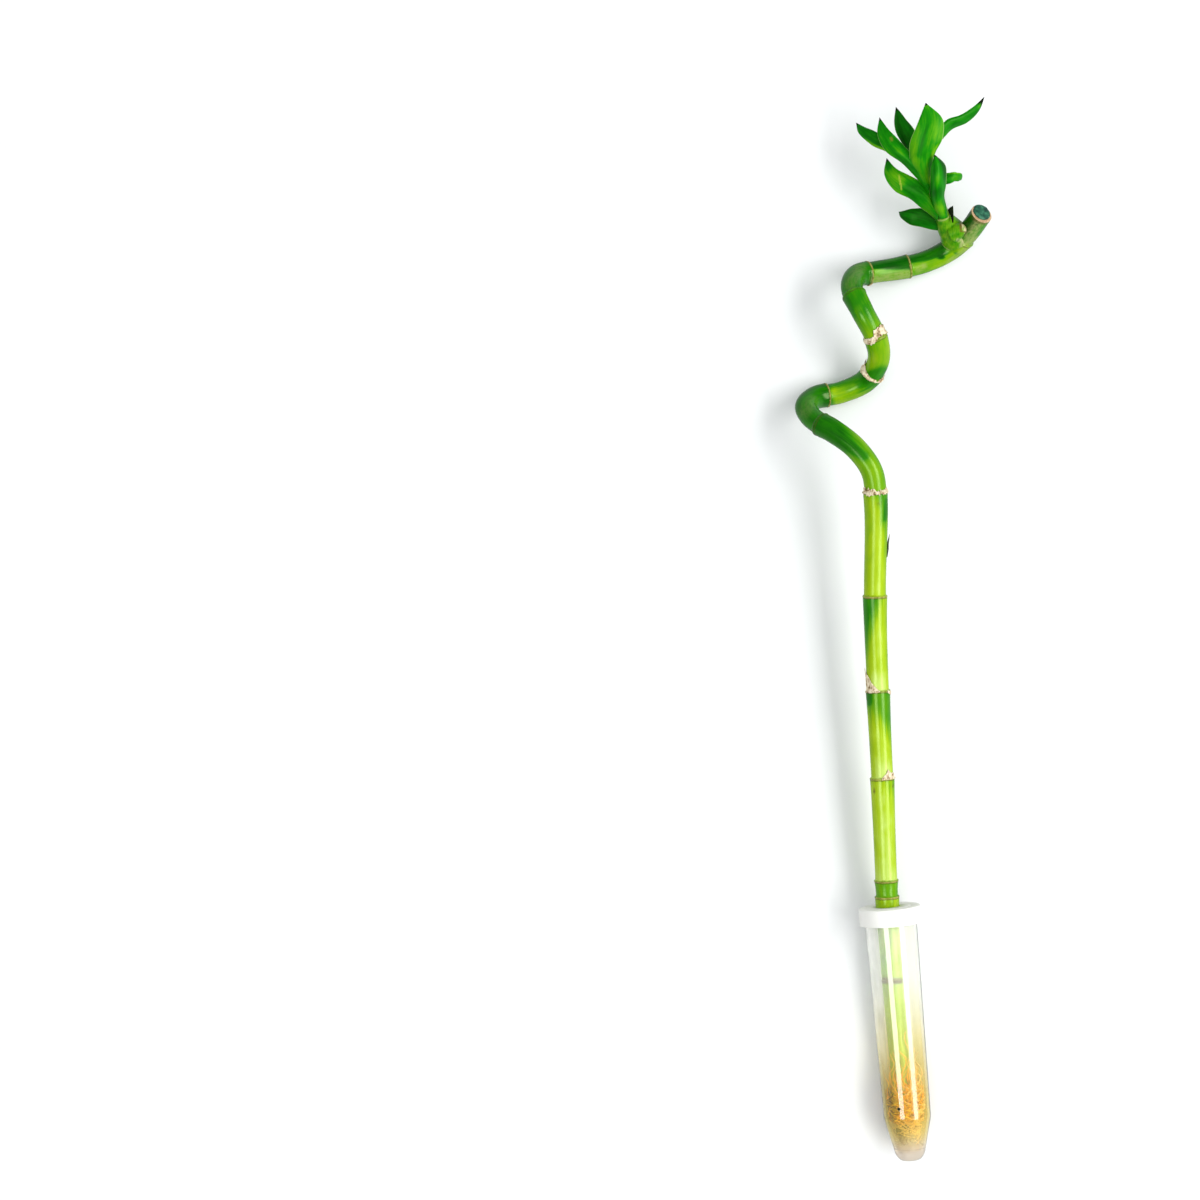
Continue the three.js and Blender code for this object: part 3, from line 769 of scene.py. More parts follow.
# A dormant bud that swells out beside the shoot, given like the sliver, and its scar as brushed
# marks.
KNOB = [(953, 233, 19, 4.4), (958, 231, 20.5, 3.9), (962.5, 229.5, 21.5, 2.9), (966, 229, 21.5, 1.2)]
BUD_PALE = [
    ((962.5, 225), (965, 230), 1.8, 0.9), ((966, 234), (971, 238), 1.6, 0.6),
    ((958, 240), (968, 242), 1.6, 0.5),
]
BUD_BROWN = [
    ((960.5, 224), (961, 231), 1.1, 0.9), ((961, 231.5), (966, 232), 0.7, 0.7),
    ((966, 224), (967, 230), 0.7, 0.6),
]
shoot_line = Line(smooth_line(np.array(SHOOT_LINE) * MM + np.array(CANE_SHIFT), 30))


def shoot_radius(distance):
    places, radii = np.array(SHOOT_RADII).T * MM
    ring = RING_HEIGHT * np.exp(-((distance - RING_AT) / RING_WIDTH) ** 2)
    return np.interp(distance, places, radii) + ring


def paint_shoot(mesh):
    places = vertices_of(mesh)
    facing = np.ones(len(places))
    store(mesh, "pale", brushed(places, facing, BUD_PALE))
    store(mesh, "brown", brushed(places, facing, BUD_BROWN))
    near = np.linalg.norm(places[:, None] - cane_line.points, axis=2)
    closest = near.argmin(axis=1)
    store(mesh, "from_cane", near.min(axis=1) - cane_radius(cane_line.reach[closest]))


def shoot_finish():
    m = Nodes("young_stem")
    place = m.object_place()
    broad = m.noise(place, 260)
    ribs = m.noise(place, (1500, 260, 300))
    colour = m.ramp(
        m.math("ADD", m.math("MULTIPLY", broad, 0.6), m.math("MULTIPLY", ribs, 0.4)),
        (0.36, (0.012, 0.18, 0.0005)),
        (0.5, (0.07, 0.26, 0.0008)),
        (0.66, (0.17, 0.34, 0.008)),
    )
    ring = m.math("ABSOLUTE", m.math("SUBTRACT", m.attribute("reach"), RING_AT))
    colour = m.mix(m.spread(ring, 0.0002, 0.0006, 0.8, 0), colour, (0.28, 0.38, 0.1))
    colour = m.mix(m.spread(m.attribute("from_cane"), 0.0004, 0.0009, 0.7, 0), colour, (0.34, 0.36, 0.14))
    broken = m.math("MULTIPLY", m.attribute("pale"), m.spread(ribs, 0.4, 0.55, 0.3, 1))
    colour = m.mix(broken, colour, (0.6, 0.5, 0.3))
    colour = m.mix(m.attribute("brown"), colour, (0.12, 0.06, 0.015))
    m.set(base_color=colour, roughness=m.spread(broad, 0.3, 0.7, 0.3, 0.42))
    m.set(specular_ior_level=0.3, specular_tint=(0.6, 1, 0.25))
    m.bump(ribs, 0.15, 0.0004)
    return m.material


shoot_steps = np.linspace(0, shoot_line.length, SHOOT_STEPS)
shoot_strand = (shoot_line.at(shoot_steps), shoot_radius(shoot_steps))
shoot_stem = sweep("shoot_stem", [shoot_strand, strand_through(KNOB)], SHOOT_SIDES, shoot_finish())
paint_shoot(shoot_stem.data)
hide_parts("leafy_shoot")
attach(shoot_stem, "root")

# ---- leaves ----
# Strap leaves with a clasping base, a fine parallel grain, a thin pale margin and a dry dark
# point. They grow from the shoot in two loose ranks and have bent towards the light.
LEAF_ROWS = 56
LEAF_COLUMNS = 18
LEAF_THICKNESS = 0.55 * MM
LEAF_EDGE = 0.16 * MM
LEAF_WAVE = 0.28  # millimetres that its edges wave up and down
LEAF_WAVES = 2.6  # from base to tip
LEAF_DRY = 2.2  # millimetres of its point that are dry
POINT_THINNING = 0.6  # how much thinner it is at the very tip
# For each leaf: how light its green is; its marks as share across, share along, half sizes of
# both, and how much lighter or darker; its rails, which are its left edge, its rib and its right
# edge, in rows from base to tip, each point as two pixels of the photograph and millimetres above
# the floor; and dry or wave where it has its own.
# A few marks and one leaf's light are painted highlight and shade, noted where they stand.
LEAVES = {
    "leaf_low_left": dict(dry=1.0, light=0.12, marks=[(0, 0.75, 0.5, 0.2, 0.1)], rails=[
        941, 231, 17, 942, 225, 20, 941, 219, 20,
        930, 229.2, 18, 931, 221, 20.5, 932, 212, 21,
        919, 226.8, 18.5, 921, 218, 20.7, 923, 208.3, 21.5,
        908.3, 223.6, 18, 911, 215.5, 20, 914, 208.4, 20.5,
        901, 218, 16.5, 904, 213.6, 18, 906, 210.2, 18.5,
        898.8, 212, 15, 898.7, 211.9, 15, 898.9, 211.8, 15,
    ]),
    "leaf_bud": dict(wave=0, light=-1.2, marks=[], rails=[
        952.4, 222.4, 25, 952.8, 222.6, 25.5, 953.3, 222.4, 25,
        950.6, 216, 26, 952, 216, 26.4, 953.4, 216, 26,
        948.2, 209.6, 26, 950.8, 209.3, 26.2, 953.3, 210, 25.8,
        952.5, 206, 25, 952.8, 205.8, 25, 953, 205.6, 25,
    ]),
    "leaf_left": dict(dry=1.9, light=0.6, marks=[
        (0.1, 0.38, 0.9, 0.18, -0.3), (0.2, 0.7, 0.9, 0.16, 0.25), (0, 0.92, 0.9, 0.1, -0.3),
    ], rails=[
        937, 221, 22, 938, 216, 28, 936, 210, 27,
        925, 210.5, 25.5, 927, 202, 30.5, 930, 193, 31,
        911, 200, 27.5, 915, 192, 31.5, 921, 182.5, 31.5,
        894.6, 190.5, 28, 902, 182.5, 30.5, 909, 175, 31,
        884.3, 175, 26.5, 890.5, 172, 28, 896.5, 168.8, 28.5,
        886.5, 158.4, 24.5, 886.6, 158.3, 24.5, 886.8, 158.2, 24.5,
    ]),
    "leaf_far_left": dict(light=0.3, marks=[(-1, 0.52, 0.45, 0.22, 0.7), (-1, 0.35, 0.5, 0.2, 0.6)], rails=[
        917, 171, 31, 919, 167.5, 32.5, 920, 164, 33,
        901, 160, 28.5, 904, 156.5, 30.5, 907, 153, 31,
        884, 150.6, 25.5, 888.5, 146, 28, 893, 142, 28.5,
        869.8, 143.9, 22, 874, 138, 24.5, 878.5, 133.3, 25,
        858.9, 133.4, 19.5, 863.5, 130, 21.3, 867, 128, 21.5,
        856, 122.8, 17.5, 856, 122.8, 17.5, 856.1, 122.7, 17.5,
    ]),
    # This leaf's low light is painted shade, where it lies behind and below the leaves in front.
    "leaf_behind": dict(dry=2.6, light=0.12, marks=[(0.5, 0.5, 0.5, 0.3, 0.12)], rails=[
        922, 180, 33, 924, 178, 34.5, 926, 176, 34,
        914, 163, 32, 917.5, 160.5, 34, 921, 158, 33,
        905, 148, 30, 911, 146, 32.5, 917, 144, 32,
        897, 135, 29, 905, 132.5, 31, 914.2, 130, 30.5,
        894.4, 120, 27, 899.4, 119, 28.5, 904.5, 117.3, 28,
        895.8, 107, 25.5, 895.9, 107, 25.5, 896, 106.9, 25.5,
    ]),
    "leaf_upper_left": dict(dry=1.8, light=0.46, marks=[
        (-0.2, 0.3, 0.7, 0.14, -0.2), (0.1, 0.5, 0.3, 0.12, 0.25),
    ], rails=[
        926, 191, 31, 929, 188, 34, 931, 184, 33,
        915.5, 176.5, 33, 919, 173, 36.5, 922, 169, 35.5,
        901, 163, 34.5, 907, 159, 37.5, 912, 155, 37,
        885.5, 150.5, 34, 894, 147, 36.5, 902, 143, 36.5,
        877.4, 135, 31.5, 884, 133.5, 33, 889.4, 130.3, 33.5,
        879.4, 117.6, 29, 879.5, 117.5, 29, 879.6, 117.4, 29,
    ]),
    "leaf_long_right": dict(dry=4.6, light=0.42, marks=[
        (0.3, 0.75, 0.6, 0.12, -0.1), (0.2, 0.86, 0.6, 0.05, 0.3),
    ], rails=[
        933, 150, 36, 934, 153, 37, 934, 156, 35,
        938, 130, 38, 939.5, 135, 38, 942, 139.5, 35.5,
        946, 120.8, 38, 948.5, 124.2, 37.8, 951, 130.6, 34.5,
        960, 114.8, 37, 962.8, 118, 36.6, 966, 122.8, 33.5,
        973, 107, 35, 976, 109, 34.6, 979, 111.3, 32.8,
        984.2, 96.8, 32.5, 984.3, 96.9, 32.5, 984.5, 97, 32.5,
    ]),
    "leaf_tallest": dict(dry=1.1, light=0.56, marks=[
        (-0.75, 0.55, 0.3, 0.3, 0.25), (0.35, 0.7, 0.35, 0.2, 0.25), (-0.15, 0.62, 0.25, 0.26, -0.22),
        # The mark at 0.85 across is a painted highlight on the upturned right edge.
        (0.1, 0.25, 0.5, 0.1, -0.05), (0.85, 0.42, 0.12, 0.1, 0.7), (-0.5, 0.36, 0.35, 0.08, 0.3),
    ], rails=[
        926.8, 193.5, 29, 930, 193.5, 32, 933, 193, 29,
        917, 176, 33.5, 923.5, 174, 37.5, 931.5, 170, 36,
        910, 160, 37.5, 922, 157, 41.5, 936, 151, 41,
        909.5, 145, 41, 925, 141, 44.5, 943, 136.5, 44,
        916.5, 126, 45, 929.5, 122, 46.5, 942.6, 119, 46,
        925.5, 103, 46.5, 925.6, 103, 46.5, 925.7, 102.6, 46.5,
    ]),
    "leaf_right": dict(dry=0.1, light=0.42, marks=[
        (-0.9, 0.6, 0.3, 0.5, 0.5), (0, 0.5, 0.35, 0.6, 0.15),
    ], rails=[
        941, 176, 28.5, 941, 181, 30.5, 941, 186, 28,
        947, 173, 30.5, 948, 178.3, 31.3, 948, 184, 30,
        953, 172.2, 31.3, 954, 176.8, 31.2, 954, 181.8, 30,
        958.2, 172.5, 30, 959, 176.6, 29.5, 958, 181, 28,
        961.9, 173.8, 27, 962.2, 176.9, 27, 961, 180.3, 26,
    ]),
    "leaf_front": dict(dry=1.3, light=0.42, marks=[
        # The mark at 0.62 along is a painted highlight on the upper face.
        (-0.1, 0.15, 0.9, 0.14, 0.4), (0, 0.42, 0.9, 0.1, -0.3), (0.1, 0.62, 0.5, 0.12, 0.3),
        (0.8, 0.85, 0.35, 0.2, -0.5), (-0.95, 0.4, 0.25, 0.4, -0.3),
    ], rails=[
        937.4, 218.5, 23, 943.6, 218.5, 28, 949.4, 216.5, 22.5,
        932.5, 208, 27, 939, 207.5, 33, 946, 206, 28,
        930.4, 195, 32, 937.3, 194, 38.5, 944.8, 196, 33,
        930, 182, 37, 937, 181, 42.5, 945.6, 183, 37,
        931.3, 167, 41, 937.5, 166, 44, 945.9, 166, 40,
        934.4, 155, 43, 934.6, 155, 43, 934.8, 154.6, 43,
    ]),
}
# Small brushed marks: a long scratch and a brown speck.
LEAF_SCRATCHES = [((899, 175.5), (901.5, 189), 0.7, 0.9)]
LEAF_SPECKS = [((891.3, 138.5), (891.6, 139.5), 1.5, 0.5)]


def leaf_sheet(leaf, seed):
    """The two faces of a leaf as a closed sheet, and what its material reads at each point."""
    rails = []
    for rail in np.array(leaf["rails"]).reshape(-1, 3, 3).transpose(1, 0, 2):
        line = smooth_line([spot(*place) for place in rail], 30)
        share = np.linspace(0, len(line) - 1, LEAF_ROWS + 1)
        rails.append(np.stack([np.interp(share, np.arange(len(line)), line[:, k]) for k in range(3)], axis=1))
    left, rib, right = rails
    across = np.sin(np.linspace(-1, 1, LEAF_COLUMNS + 1) * math.pi / 2)[None, :, None]
    along = np.linspace(0, 1, LEAF_ROWS + 1)
    surface = rib[:, None] + (right - left)[:, None] / 2 * across
    surface = surface + ((left + right) / 2 - rib)[:, None] * across**2
    normal = np.cross(np.gradient(surface, axis=1), np.gradient(surface, axis=0))
    normal = normal / np.maximum(np.linalg.norm(normal, axis=2, keepdims=True), 1e-12)
    wave = np.sin(2 * math.pi * (LEAF_WAVES * along + seed * 0.37)) * np.sin(math.pi * along)
    wave = leaf.get("wave", LEAF_WAVE) * MM * wave[:, None, None] * across * np.abs(across)
    surface = surface + normal * wave
    half = LEAF_EDGE / 2 + (LEAF_THICKNESS - LEAF_EDGE) / 2 * (1 - across**2)
    half = half * (1 - POINT_THINNING * ease(along, 0.85, 1.0))[:, None, None]
    upper, lower = ((surface + lift).reshape(-1, 3) for lift in (normal * half, -normal * half))
    points, faces = closed_sheet(upper, lower, LEAF_ROWS, LEAF_COLUMNS)
    u = np.broadcast_to(across[..., 0], surface.shape[:2])
    v = np.broadcast_to(along[:, None], surface.shape[:2])
    light = np.full(u.shape, leaf["light"], float)
    for at_u, at_v, half_u, half_v, change in leaf["marks"]:
        gap = np.hypot((u - at_u) / half_u, (v - at_v) / half_v)
        light = light + change * (1 - ease(gap, 0.3, 1.3))
    length = np.linalg.norm(np.diff(rib, axis=0), axis=1).sum()
    width = np.linalg.norm(right - left, axis=1)[:, None] / 2
    grain = np.stack([u * width, v * length, np.full(u.shape, seed * 0.05)], axis=2)
    dry = (1 - v) * length / (leaf.get("dry", LEAF_DRY) * MM)
    reads = {"across": np.abs(u), "dry": dry, "light": light}
    reads = {label: np.tile(values.ravel(), 2) for label, values in reads.items()}
    reads["grain"] = np.tile(grain.reshape(-1, 3), (2, 1))
    reads["under"] = np.repeat([0.0, 1.0], u.size)
    reads["scratch"] = brushed(points, 1 - reads["under"], LEAF_SCRATCHES)
    reads["speck"] = brushed(points, 1 - reads["under"], LEAF_SPECKS)
    return points, faces, reads


def leaf_finish():
    m = Nodes("leaf_blade")
    grain = m.attribute("grain", "Vector")
    broad = m.noise(grain, (260, 110, 1))
    streaks = m.noise(grain, (1500, 45, 1))
    veins = m.noise(grain, (3600, 30, 1), 2)
    tone = m.math("ADD", m.attribute("light"), m.spread(broad, 0.3, 0.7, -0.2, 0.2))
    tone = m.math("ADD", tone, m.spread(streaks, 0.3, 0.7, -0.12, 0.12))
    tone = m.math("ADD", tone, m.spread(veins, 0.35, 0.65, -0.04, 0.04))
    green = m.ramp(
        tone,
        (0.0, (0.0003, 0.07, 0.0003)),
        (0.3, (0.0005, 0.14, 0.0003)),
        (0.55, (0.006, 0.215, 0.0004)),
        (1.0, (0.1, 0.34, 0.001)),
    )
    colour = m.mix(m.math("MULTIPLY", m.attribute("under"), 0.35), green, (0.06, 0.2, 0.02))
    margin = m.spread(m.attribute("across"), 0.96, 0.985, 0, 0.7)
    colour = m.mix(margin, colour, (0.34, 0.44, 0.16))
    dry = m.math("ADD", m.attribute("dry"), m.spread(streaks, 0.3, 0.7, -0.25, 0.25))
    colour = m.mix(m.attribute("scratch"), colour, (0.33, 0.42, 0.04))
    colour = m.mix(m.attribute("speck"), colour, (0.25, 0.2, 0.03))
    withered = m.spread(dry, 0.8, 1.2, 1, 0)
    withered = m.math("MAXIMUM", withered, m.spread(m.attribute("light"), -0.6, -0.3, 1, 0))
    colour = m.mix(withered, colour, (0.003, 0.004, 0.002))
    satin = m.spread(broad, 0.3, 0.7, 0.3, 0.42)
    m.set(base_color=colour, roughness=m.math("MAXIMUM", satin, m.math("MULTIPLY", withered, 0.9)))
    m.set(specular_ior_level=0.2, specular_tint=(0.5, 1, 0.3))
    m.bump(m.math("ADD", m.math("MULTIPLY", streaks, 0.6), m.math("MULTIPLY", veins, 0.4)), 0.18, 0.0003)
    return m.material


leaf_blade = leaf_finish()
for number, (name, leaf) in enumerate(LEAVES.items()):
    points, faces, reads = leaf_sheet(leaf, number + 1)
    blade = solid_piece(name, [(points, faces)], leaf_blade)
    for label, values in reads.items():
        store(blade.data, label, values)
    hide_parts("leafy_shoot")
    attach(blade, "root")

# ---- wax seal ----
# Teal wax that the cut top was dipped in: a thin, slightly uneven dome that leaves a rim of
# the cut bare.
WAX_RADIUS = 4.3 * MM
WAX_HEIGHT = 1.15 * MM
WAX_GAP = 0.05 * MM
WAX_SHIFT = 0.7 * MM  # off the middle of the cut, away from its upper edge
WAX_RINGS = 16
WAX_SIDES = 72


def wax_finish():
    m = Nodes("teal_wax")
    place = m.object_place()
    clouds = m.noise(place, 500, 4)
    colour = m.ramp(
        clouds, (0.35, (0.003, 0.035, 0.026)), (0.52, (0.009, 0.1, 0.05)), (0.7, (0.05, 0.22, 0.12))
    )
    m.set(base_color=colour, roughness=m.spread(clouds, 0.3, 0.7, 0.35, 0.6), specular_ior_level=0.4)
    m.bump(m.noise(place, 1400), 0.3, 0.0003)
    return m.material


def ring_faces(rings, sides, closed=False):
    """Faces from each ring of points to the next one, and from the last to the first if closed."""
    faces = []
    for ring in range(rings if closed else rings - 1):
        here, following = ring * sides, (ring + 1) % rings * sides
        for k in range(sides):
            beside = (k + 1) % sides
            faces.append((here + k, here + beside, following + beside, following + k))
    return faces


def wax_dome():
    """A dome on a foot ring: rings of points from the rim's foot up to the crown."""
    end = np.array([cane_line.length])
    tangent, up, side = (axis[0] for axis in cane_line.axes(end))
    base = cane_line.at(end)[0] - WAX_SHIFT * (up + 0.5 * side)
    points = []
    for ring in range(WAX_RINGS):
        share = ring / WAX_RINGS
        lift = WAX_HEIGHT * math.sin(share * math.pi / 2) ** 0.75
        spread = WAX_RADIUS * math.cos(share * math.pi / 2) ** 0.55
        for k in range(WAX_SIDES):
            turn = 2 * math.pi * k / WAX_SIDES
            uneven = noise.noise(Vector((2 * math.cos(turn), 2 * math.sin(turn), share)))
            out = spread * (1 + 0.05 * uneven)
            height = WAX_GAP + lift * (1 + 0.12 * uneven * (1 - share))
            points.append(base + out * (up * math.cos(turn) + side * math.sin(turn)) + height * tangent)
    faces = [(b, a, d, c) for a, b, c, d in ring_faces(WAX_RINGS, WAX_SIDES)]
    top = (WAX_RINGS - 1) * WAX_SIDES
    crown = len(points)
    points.append(base + (WAX_GAP + WAX_HEIGHT) * tangent)
    points.append(base + WAX_GAP * tangent)
    for k in range(WAX_SIDES):
        following = (k + 1) % WAX_SIDES
        faces.append((top + following, top + k, crown))
        faces.append((k, following, crown + 1))
    return np.array(points), faces


wax_seal_dome = solid_piece("wax_seal_dome", [wax_dome()], wax_finish())
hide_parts("wax_seal")
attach(wax_seal_dome, "root")

# ---- water tube ----
# A clear soft-plastic flower tube, moulded in one piece: a slight taper, a conical lower end and
# a rounded closed tip, with a milky bloom on its surface. Sizes here are in millimetres, and
# places along it are measured from its tip.
TIP_RADIUS = 6.8
TIP_END = 2.8
SHOULDER_AT = 20.0
SHOULDER_RADIUS = 11.05
MOUTH_AT = 117.3
MOUTH_RADIUS = 12.15
TUBE_WALL = 1.2
TUBE_FLOOR = 4.0
TUBE_STEP = 1.6  # the longest span of its outline
AXIS_GAP = 0.05  # the radius of the pinhole that turning leaves on the axis
TUBE_SIDES = 128
# How white the bloom on it is at places along it, and how much of that its inside has. Its rise
# towards the cap is partly the plastic's bloom and partly a painted reflection of the room.
BLOOM_AND_REFLECTION = [(0, 0.5), (5, 0.46), (8, 0.34), (14, 0.2), (22, 0.06), (60, 0.09), (90, 0.15), (110, 0.19)]
INSIDE_BLOOM = 0.3
# A white haze along its left side, partly the plastic's own and partly painted light over the floor's
# shade that shows through it: how strong, between which shares of the way out to that side it sets in,
# and between which places along it.
LEFT_HAZE_AND_LIGHT = 0.45
HAZE_OUT = (0.55, 0.85)
HAZE_ALONG = (30, 60)
# The places along it between which the milky tip and the yellow stain fade out.
MILKY_TO = (3.5, 15)
STAIN_TO = (25, 90)
SPECK_AT = spot(899, 1109, 21.2)  # a black speck stuck to the wall
SPECK_RADIUS = 1.0 * MM
tube_axis = -Vector(frame["record"]["mounts"][0]["axis"]).normalized()
tube_right = tube_axis.cross(Vector((0, 0, 1))).normalized()
tube_up = tube_right.cross(tube_axis)


def tube_rings(profile, sides):
    """Rings of points on the tube's axis: distance from the tip and radius, in millimetres."""
    points = []
    for distance, radius in profile:
        for k in range(sides):
            turn = 2 * math.pi * k / sides
            out = tube_right * math.cos(turn) + tube_up * math.sin(turn)
            points.append(tube_tip + tube_axis * distance * MM + out * radius * MM)
    return np.array(points)


def turned(name, profile, sides, material):
    """A shape turned on the tube's axis from a profile, outside first and then back inside."""
    body = tube_rings(profile, sides), ring_faces(len(profile), sides, closed=True)
    return solid_piece(name, [body], material)


def in_tube(places):
    """Millimetres along the tube from its tip, to its right, and out from its axis."""
    from_tip = (places - np.array(tube_tip)) / MM
    along = from_tip @ np.array(tube_axis)
    out = np.linalg.norm(from_tip - along[:, None] * np.array(tube_axis), axis=1)
    return along, from_tip @ np.array(tube_right), out


def rounded(corners, steps=5):
    """A profile whose corners (distance, radius, rounding) are turned into short arcs."""
    profile = []
    for k, (distance, radius, rounding) in enumerate(corners):
        here = np.array((distance, radius), float)
        if rounding == 0:
            profile.append(tuple(here))
            continue
        before = np.array(corners[k - 1][:2], float) - here
        after = np.array(corners[k + 1][:2], float) - here
        start = here + before / np.linalg.norm(before) * rounding
        end = here + after / np.linalg.norm(after) * rounding
        for t in np.linspace(0, 1, steps + 1):
            profile.append(tuple((1 - t) ** 2 * start + 2 * t * (1 - t) * here + t**2 * end))
    return profile


def stepped(profile, longest):
    """A profile with points added, so that no span of it is longer than this."""
    points = []
    for here, following in zip(profile, profile[1:]):
        count = math.ceil(math.dist(here, following) / longest)
        for share in np.linspace(0, 1, max(count, 1), endpoint=False):
            points.append(tuple((1 - share) * np.array(here) + share * np.array(following)))
    return [*points, profile[-1]]


def clear_plastic_finish():
    """A clear skin with a white bloom, in part painted reflection and light, stained yellow round the roots
    and milky at the tip.
    """
    m = Nodes("clear_plastic")
    place = m.object_place()
    clouds = m.noise(place, (160, 60, 160))
    stained = m.mix(m.attribute("stain"), (0.98, 0.98, 0.945), (0.88, 0.77, 0.34))
    colour = m.mix(m.attribute("milky"), stained, (0.7, 0.62, 0.52))
    gap = m.add("ShaderNodeVectorMath", operation="DISTANCE")
    m.put(place, gap.inputs[0])
    m.put(SPECK_AT, gap.inputs[1])
    no_speck = m.spread(gap.outputs["Value"], 0.7 * SPECK_RADIUS, SPECK_RADIUS)
    m.set(base_color=m.mix(no_speck, (0.01, 0.012, 0.008), colour))
    m.set(roughness=m.spread(m.attribute("milky"), 0, 1, 0, 0.3))
    bloom_and_light = m.math("MULTIPLY", m.attribute("bloom_and_light"), m.spread(clouds, 0.3, 0.7, 0.75, 1.2))
    clear = m.math("SUBTRACT", 1, bloom_and_light)
    m.set(transmission_weight=m.math("MULTIPLY", clear, no_speck))
    m.set(coat_weight=m.math("MULTIPLY", m.attribute("outside"), no_speck))
    m.set(ior=1.03, coat_roughness=0.05, coat_ior=1.7)
    m.bump(m.noise(place, (90, 20, 90), 2), 0.01, 0.0006)
    return m.material


tube_corners = [
    (0, AXIS_GAP, 0), (0, TIP_RADIUS - 2.1, 1.5), (TIP_END, TIP_RADIUS, 1.4),
    (SHOULDER_AT, SHOULDER_RADIUS, 1.6), (MOUTH_AT, MOUTH_RADIUS, 0.3),
    (MOUTH_AT, MOUTH_RADIUS - TUBE_WALL, 0.3), (SHOULDER_AT, SHOULDER_RADIUS - TUBE_WALL, 1.6),
    (TUBE_FLOOR, TIP_RADIUS - TUBE_WALL + 0.3, 1.2), (TUBE_FLOOR, AXIS_GAP, 0),
]
tube_profile = stepped(rounded(tube_corners), TUBE_STEP)
clear_tube = turned("clear_tube", tube_profile, TUBE_SIDES, clear_plastic_finish())
tube_reach, to_right, out = in_tube(vertices_of(clear_tube.data))
store(clear_tube.data, "milky", 1 - ease(tube_reach, *MILKY_TO))
store(clear_tube.data, "stain", 1 - ease(tube_reach, *STAIN_TO))
bloom_and_light = np.interp(tube_reach, *np.array(BLOOM_AND_REFLECTION).T)
outer_radii = [TIP_RADIUS, SHOULDER_RADIUS, MOUTH_RADIUS]
wall_middle = np.interp(tube_reach, [TIP_END, SHOULDER_AT, MOUTH_AT], outer_radii) - TUBE_WALL / 2
is_outside = (out > wall_middle) | (tube_reach < TUBE_FLOOR / 2)
store(clear_tube.data, "outside", is_outside.astype(float))
# Painted light: the left haze also lightens the floor's shade that shows through the wall.
haze_and_light = LEFT_HAZE_AND_LIGHT * ease(-to_right / wall_middle, *HAZE_OUT) * ease(tube_reach, *HAZE_ALONG) * is_outside
store(clear_tube.data, "bloom_and_light", bloom_and_light * np.where(is_outside, 1, INSIDE_BLOOM) + haze_and_light)
clear_tube.visible_shadow = False  # light passes it
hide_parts("tube")
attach(clear_tube, "root")

# ---- cap ----
# A white soft-plastic cap pushed over the tube's mouth, with fine moulded steps on its top and
# a hole that hugs the cane.
CAP_TOP_AT = 119.2  # from the tube's tip, and all in millimetres
CAP_RADIUS = 14.5
CAP_SKIRT_AT = 111.2  # the lower end of its skirt
CAP_SKIRT = 12.45  # the skirt's inner radius
CAP_ROOF = 1.6
CAP_HOLE = 5.9  # its radius
CAP_GROOVE = 0.35  # the depth of a shallow ring in its top
CAP_SIDES = 96


def cap_finish():
    m = Nodes("white_soft_plastic")
    clouds = m.noise(m.object_place(), 160)
    m.set(base_color=m.mix(clouds, (0.78, 0.775, 0.73), (0.84, 0.835, 0.79)))
    m.set(roughness=m.spread(clouds, 0.3, 0.7, 0.4, 0.55), specular_ior_level=0.35)
    m.bump(m.noise(m.object_place(), 900), 0.08, 0.0003)
    return m.material


cap_corners = [
    (CAP_TOP_AT, CAP_HOLE, 0), (CAP_TOP_AT, 9.6, 0.3), (CAP_TOP_AT - CAP_GROOVE, 9.9, 0.2),
    (CAP_TOP_AT - CAP_GROOVE, 10.6, 0.2), (CAP_TOP_AT, 10.9, 0.3), (CAP_TOP_AT, CAP_RADIUS, 1.0),
    (CAP_SKIRT_AT, CAP_RADIUS, 0.4), (CAP_SKIRT_AT, CAP_SKIRT, 0.2),
    (CAP_TOP_AT - CAP_ROOF, CAP_SKIRT, 0.4), (CAP_TOP_AT - CAP_ROOF, CAP_HOLE, 0),
]
tube_cap = turned("tube_cap", rounded(cap_corners)[::-1], CAP_SIDES, cap_finish())
# The hole is moved to where the cane passes it, which is a little off the tube's axis.
cane_along, _, _ = in_tube(cane_line.points)
hole_at = np.interp(0, cane_along - CAP_TOP_AT, cane_line.reach)
off_axis = cane_line.at(np.array([hole_at]))[0] - np.array(tube_tip + tube_axis * CAP_TOP_AT * MM)
cap_places = vertices_of(tube_cap.data)
_, _, out = in_tube(cap_places)
cap_places[out < CAP_HOLE + 0.1] += off_axis
tube_cap.data.vertices.foreach_set("co", cap_places.ravel())
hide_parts("cap")
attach(tube_cap, "root")

# ---- water ----
# Stale, faintly yellow water that stands level in the lying tube and leaves an air pocket under
# the upper wall near the cap.
WATER_GAP = 0.15  # from the tube's wall
WATER_END = 111.0  # from the tip, where the cap's skirt begins
WATER_RINGS = 60
WATER_SIDES = 64
WATER_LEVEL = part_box("water")[1][2]
WATER_STAIN_TO = (15, 60)  # from the tip, where its stain fades out


def water_finish():
    m = Nodes("stale_water")
    ripples = m.noise(m.object_place(), (120, 50, 120))
    fresh = m.mix(ripples, (0.78, 0.78, 0.58), (0.84, 0.84, 0.66))
    m.set(base_color=m.mix(m.attribute("stain"), fresh, (0.66, 0.48, 0.08)))
    m.set(alpha=m.spread(m.attribute("stain"), 0, 1, 0.06, 0.08), roughness=0.1, specular_ior_level=0.2)
    return m.material


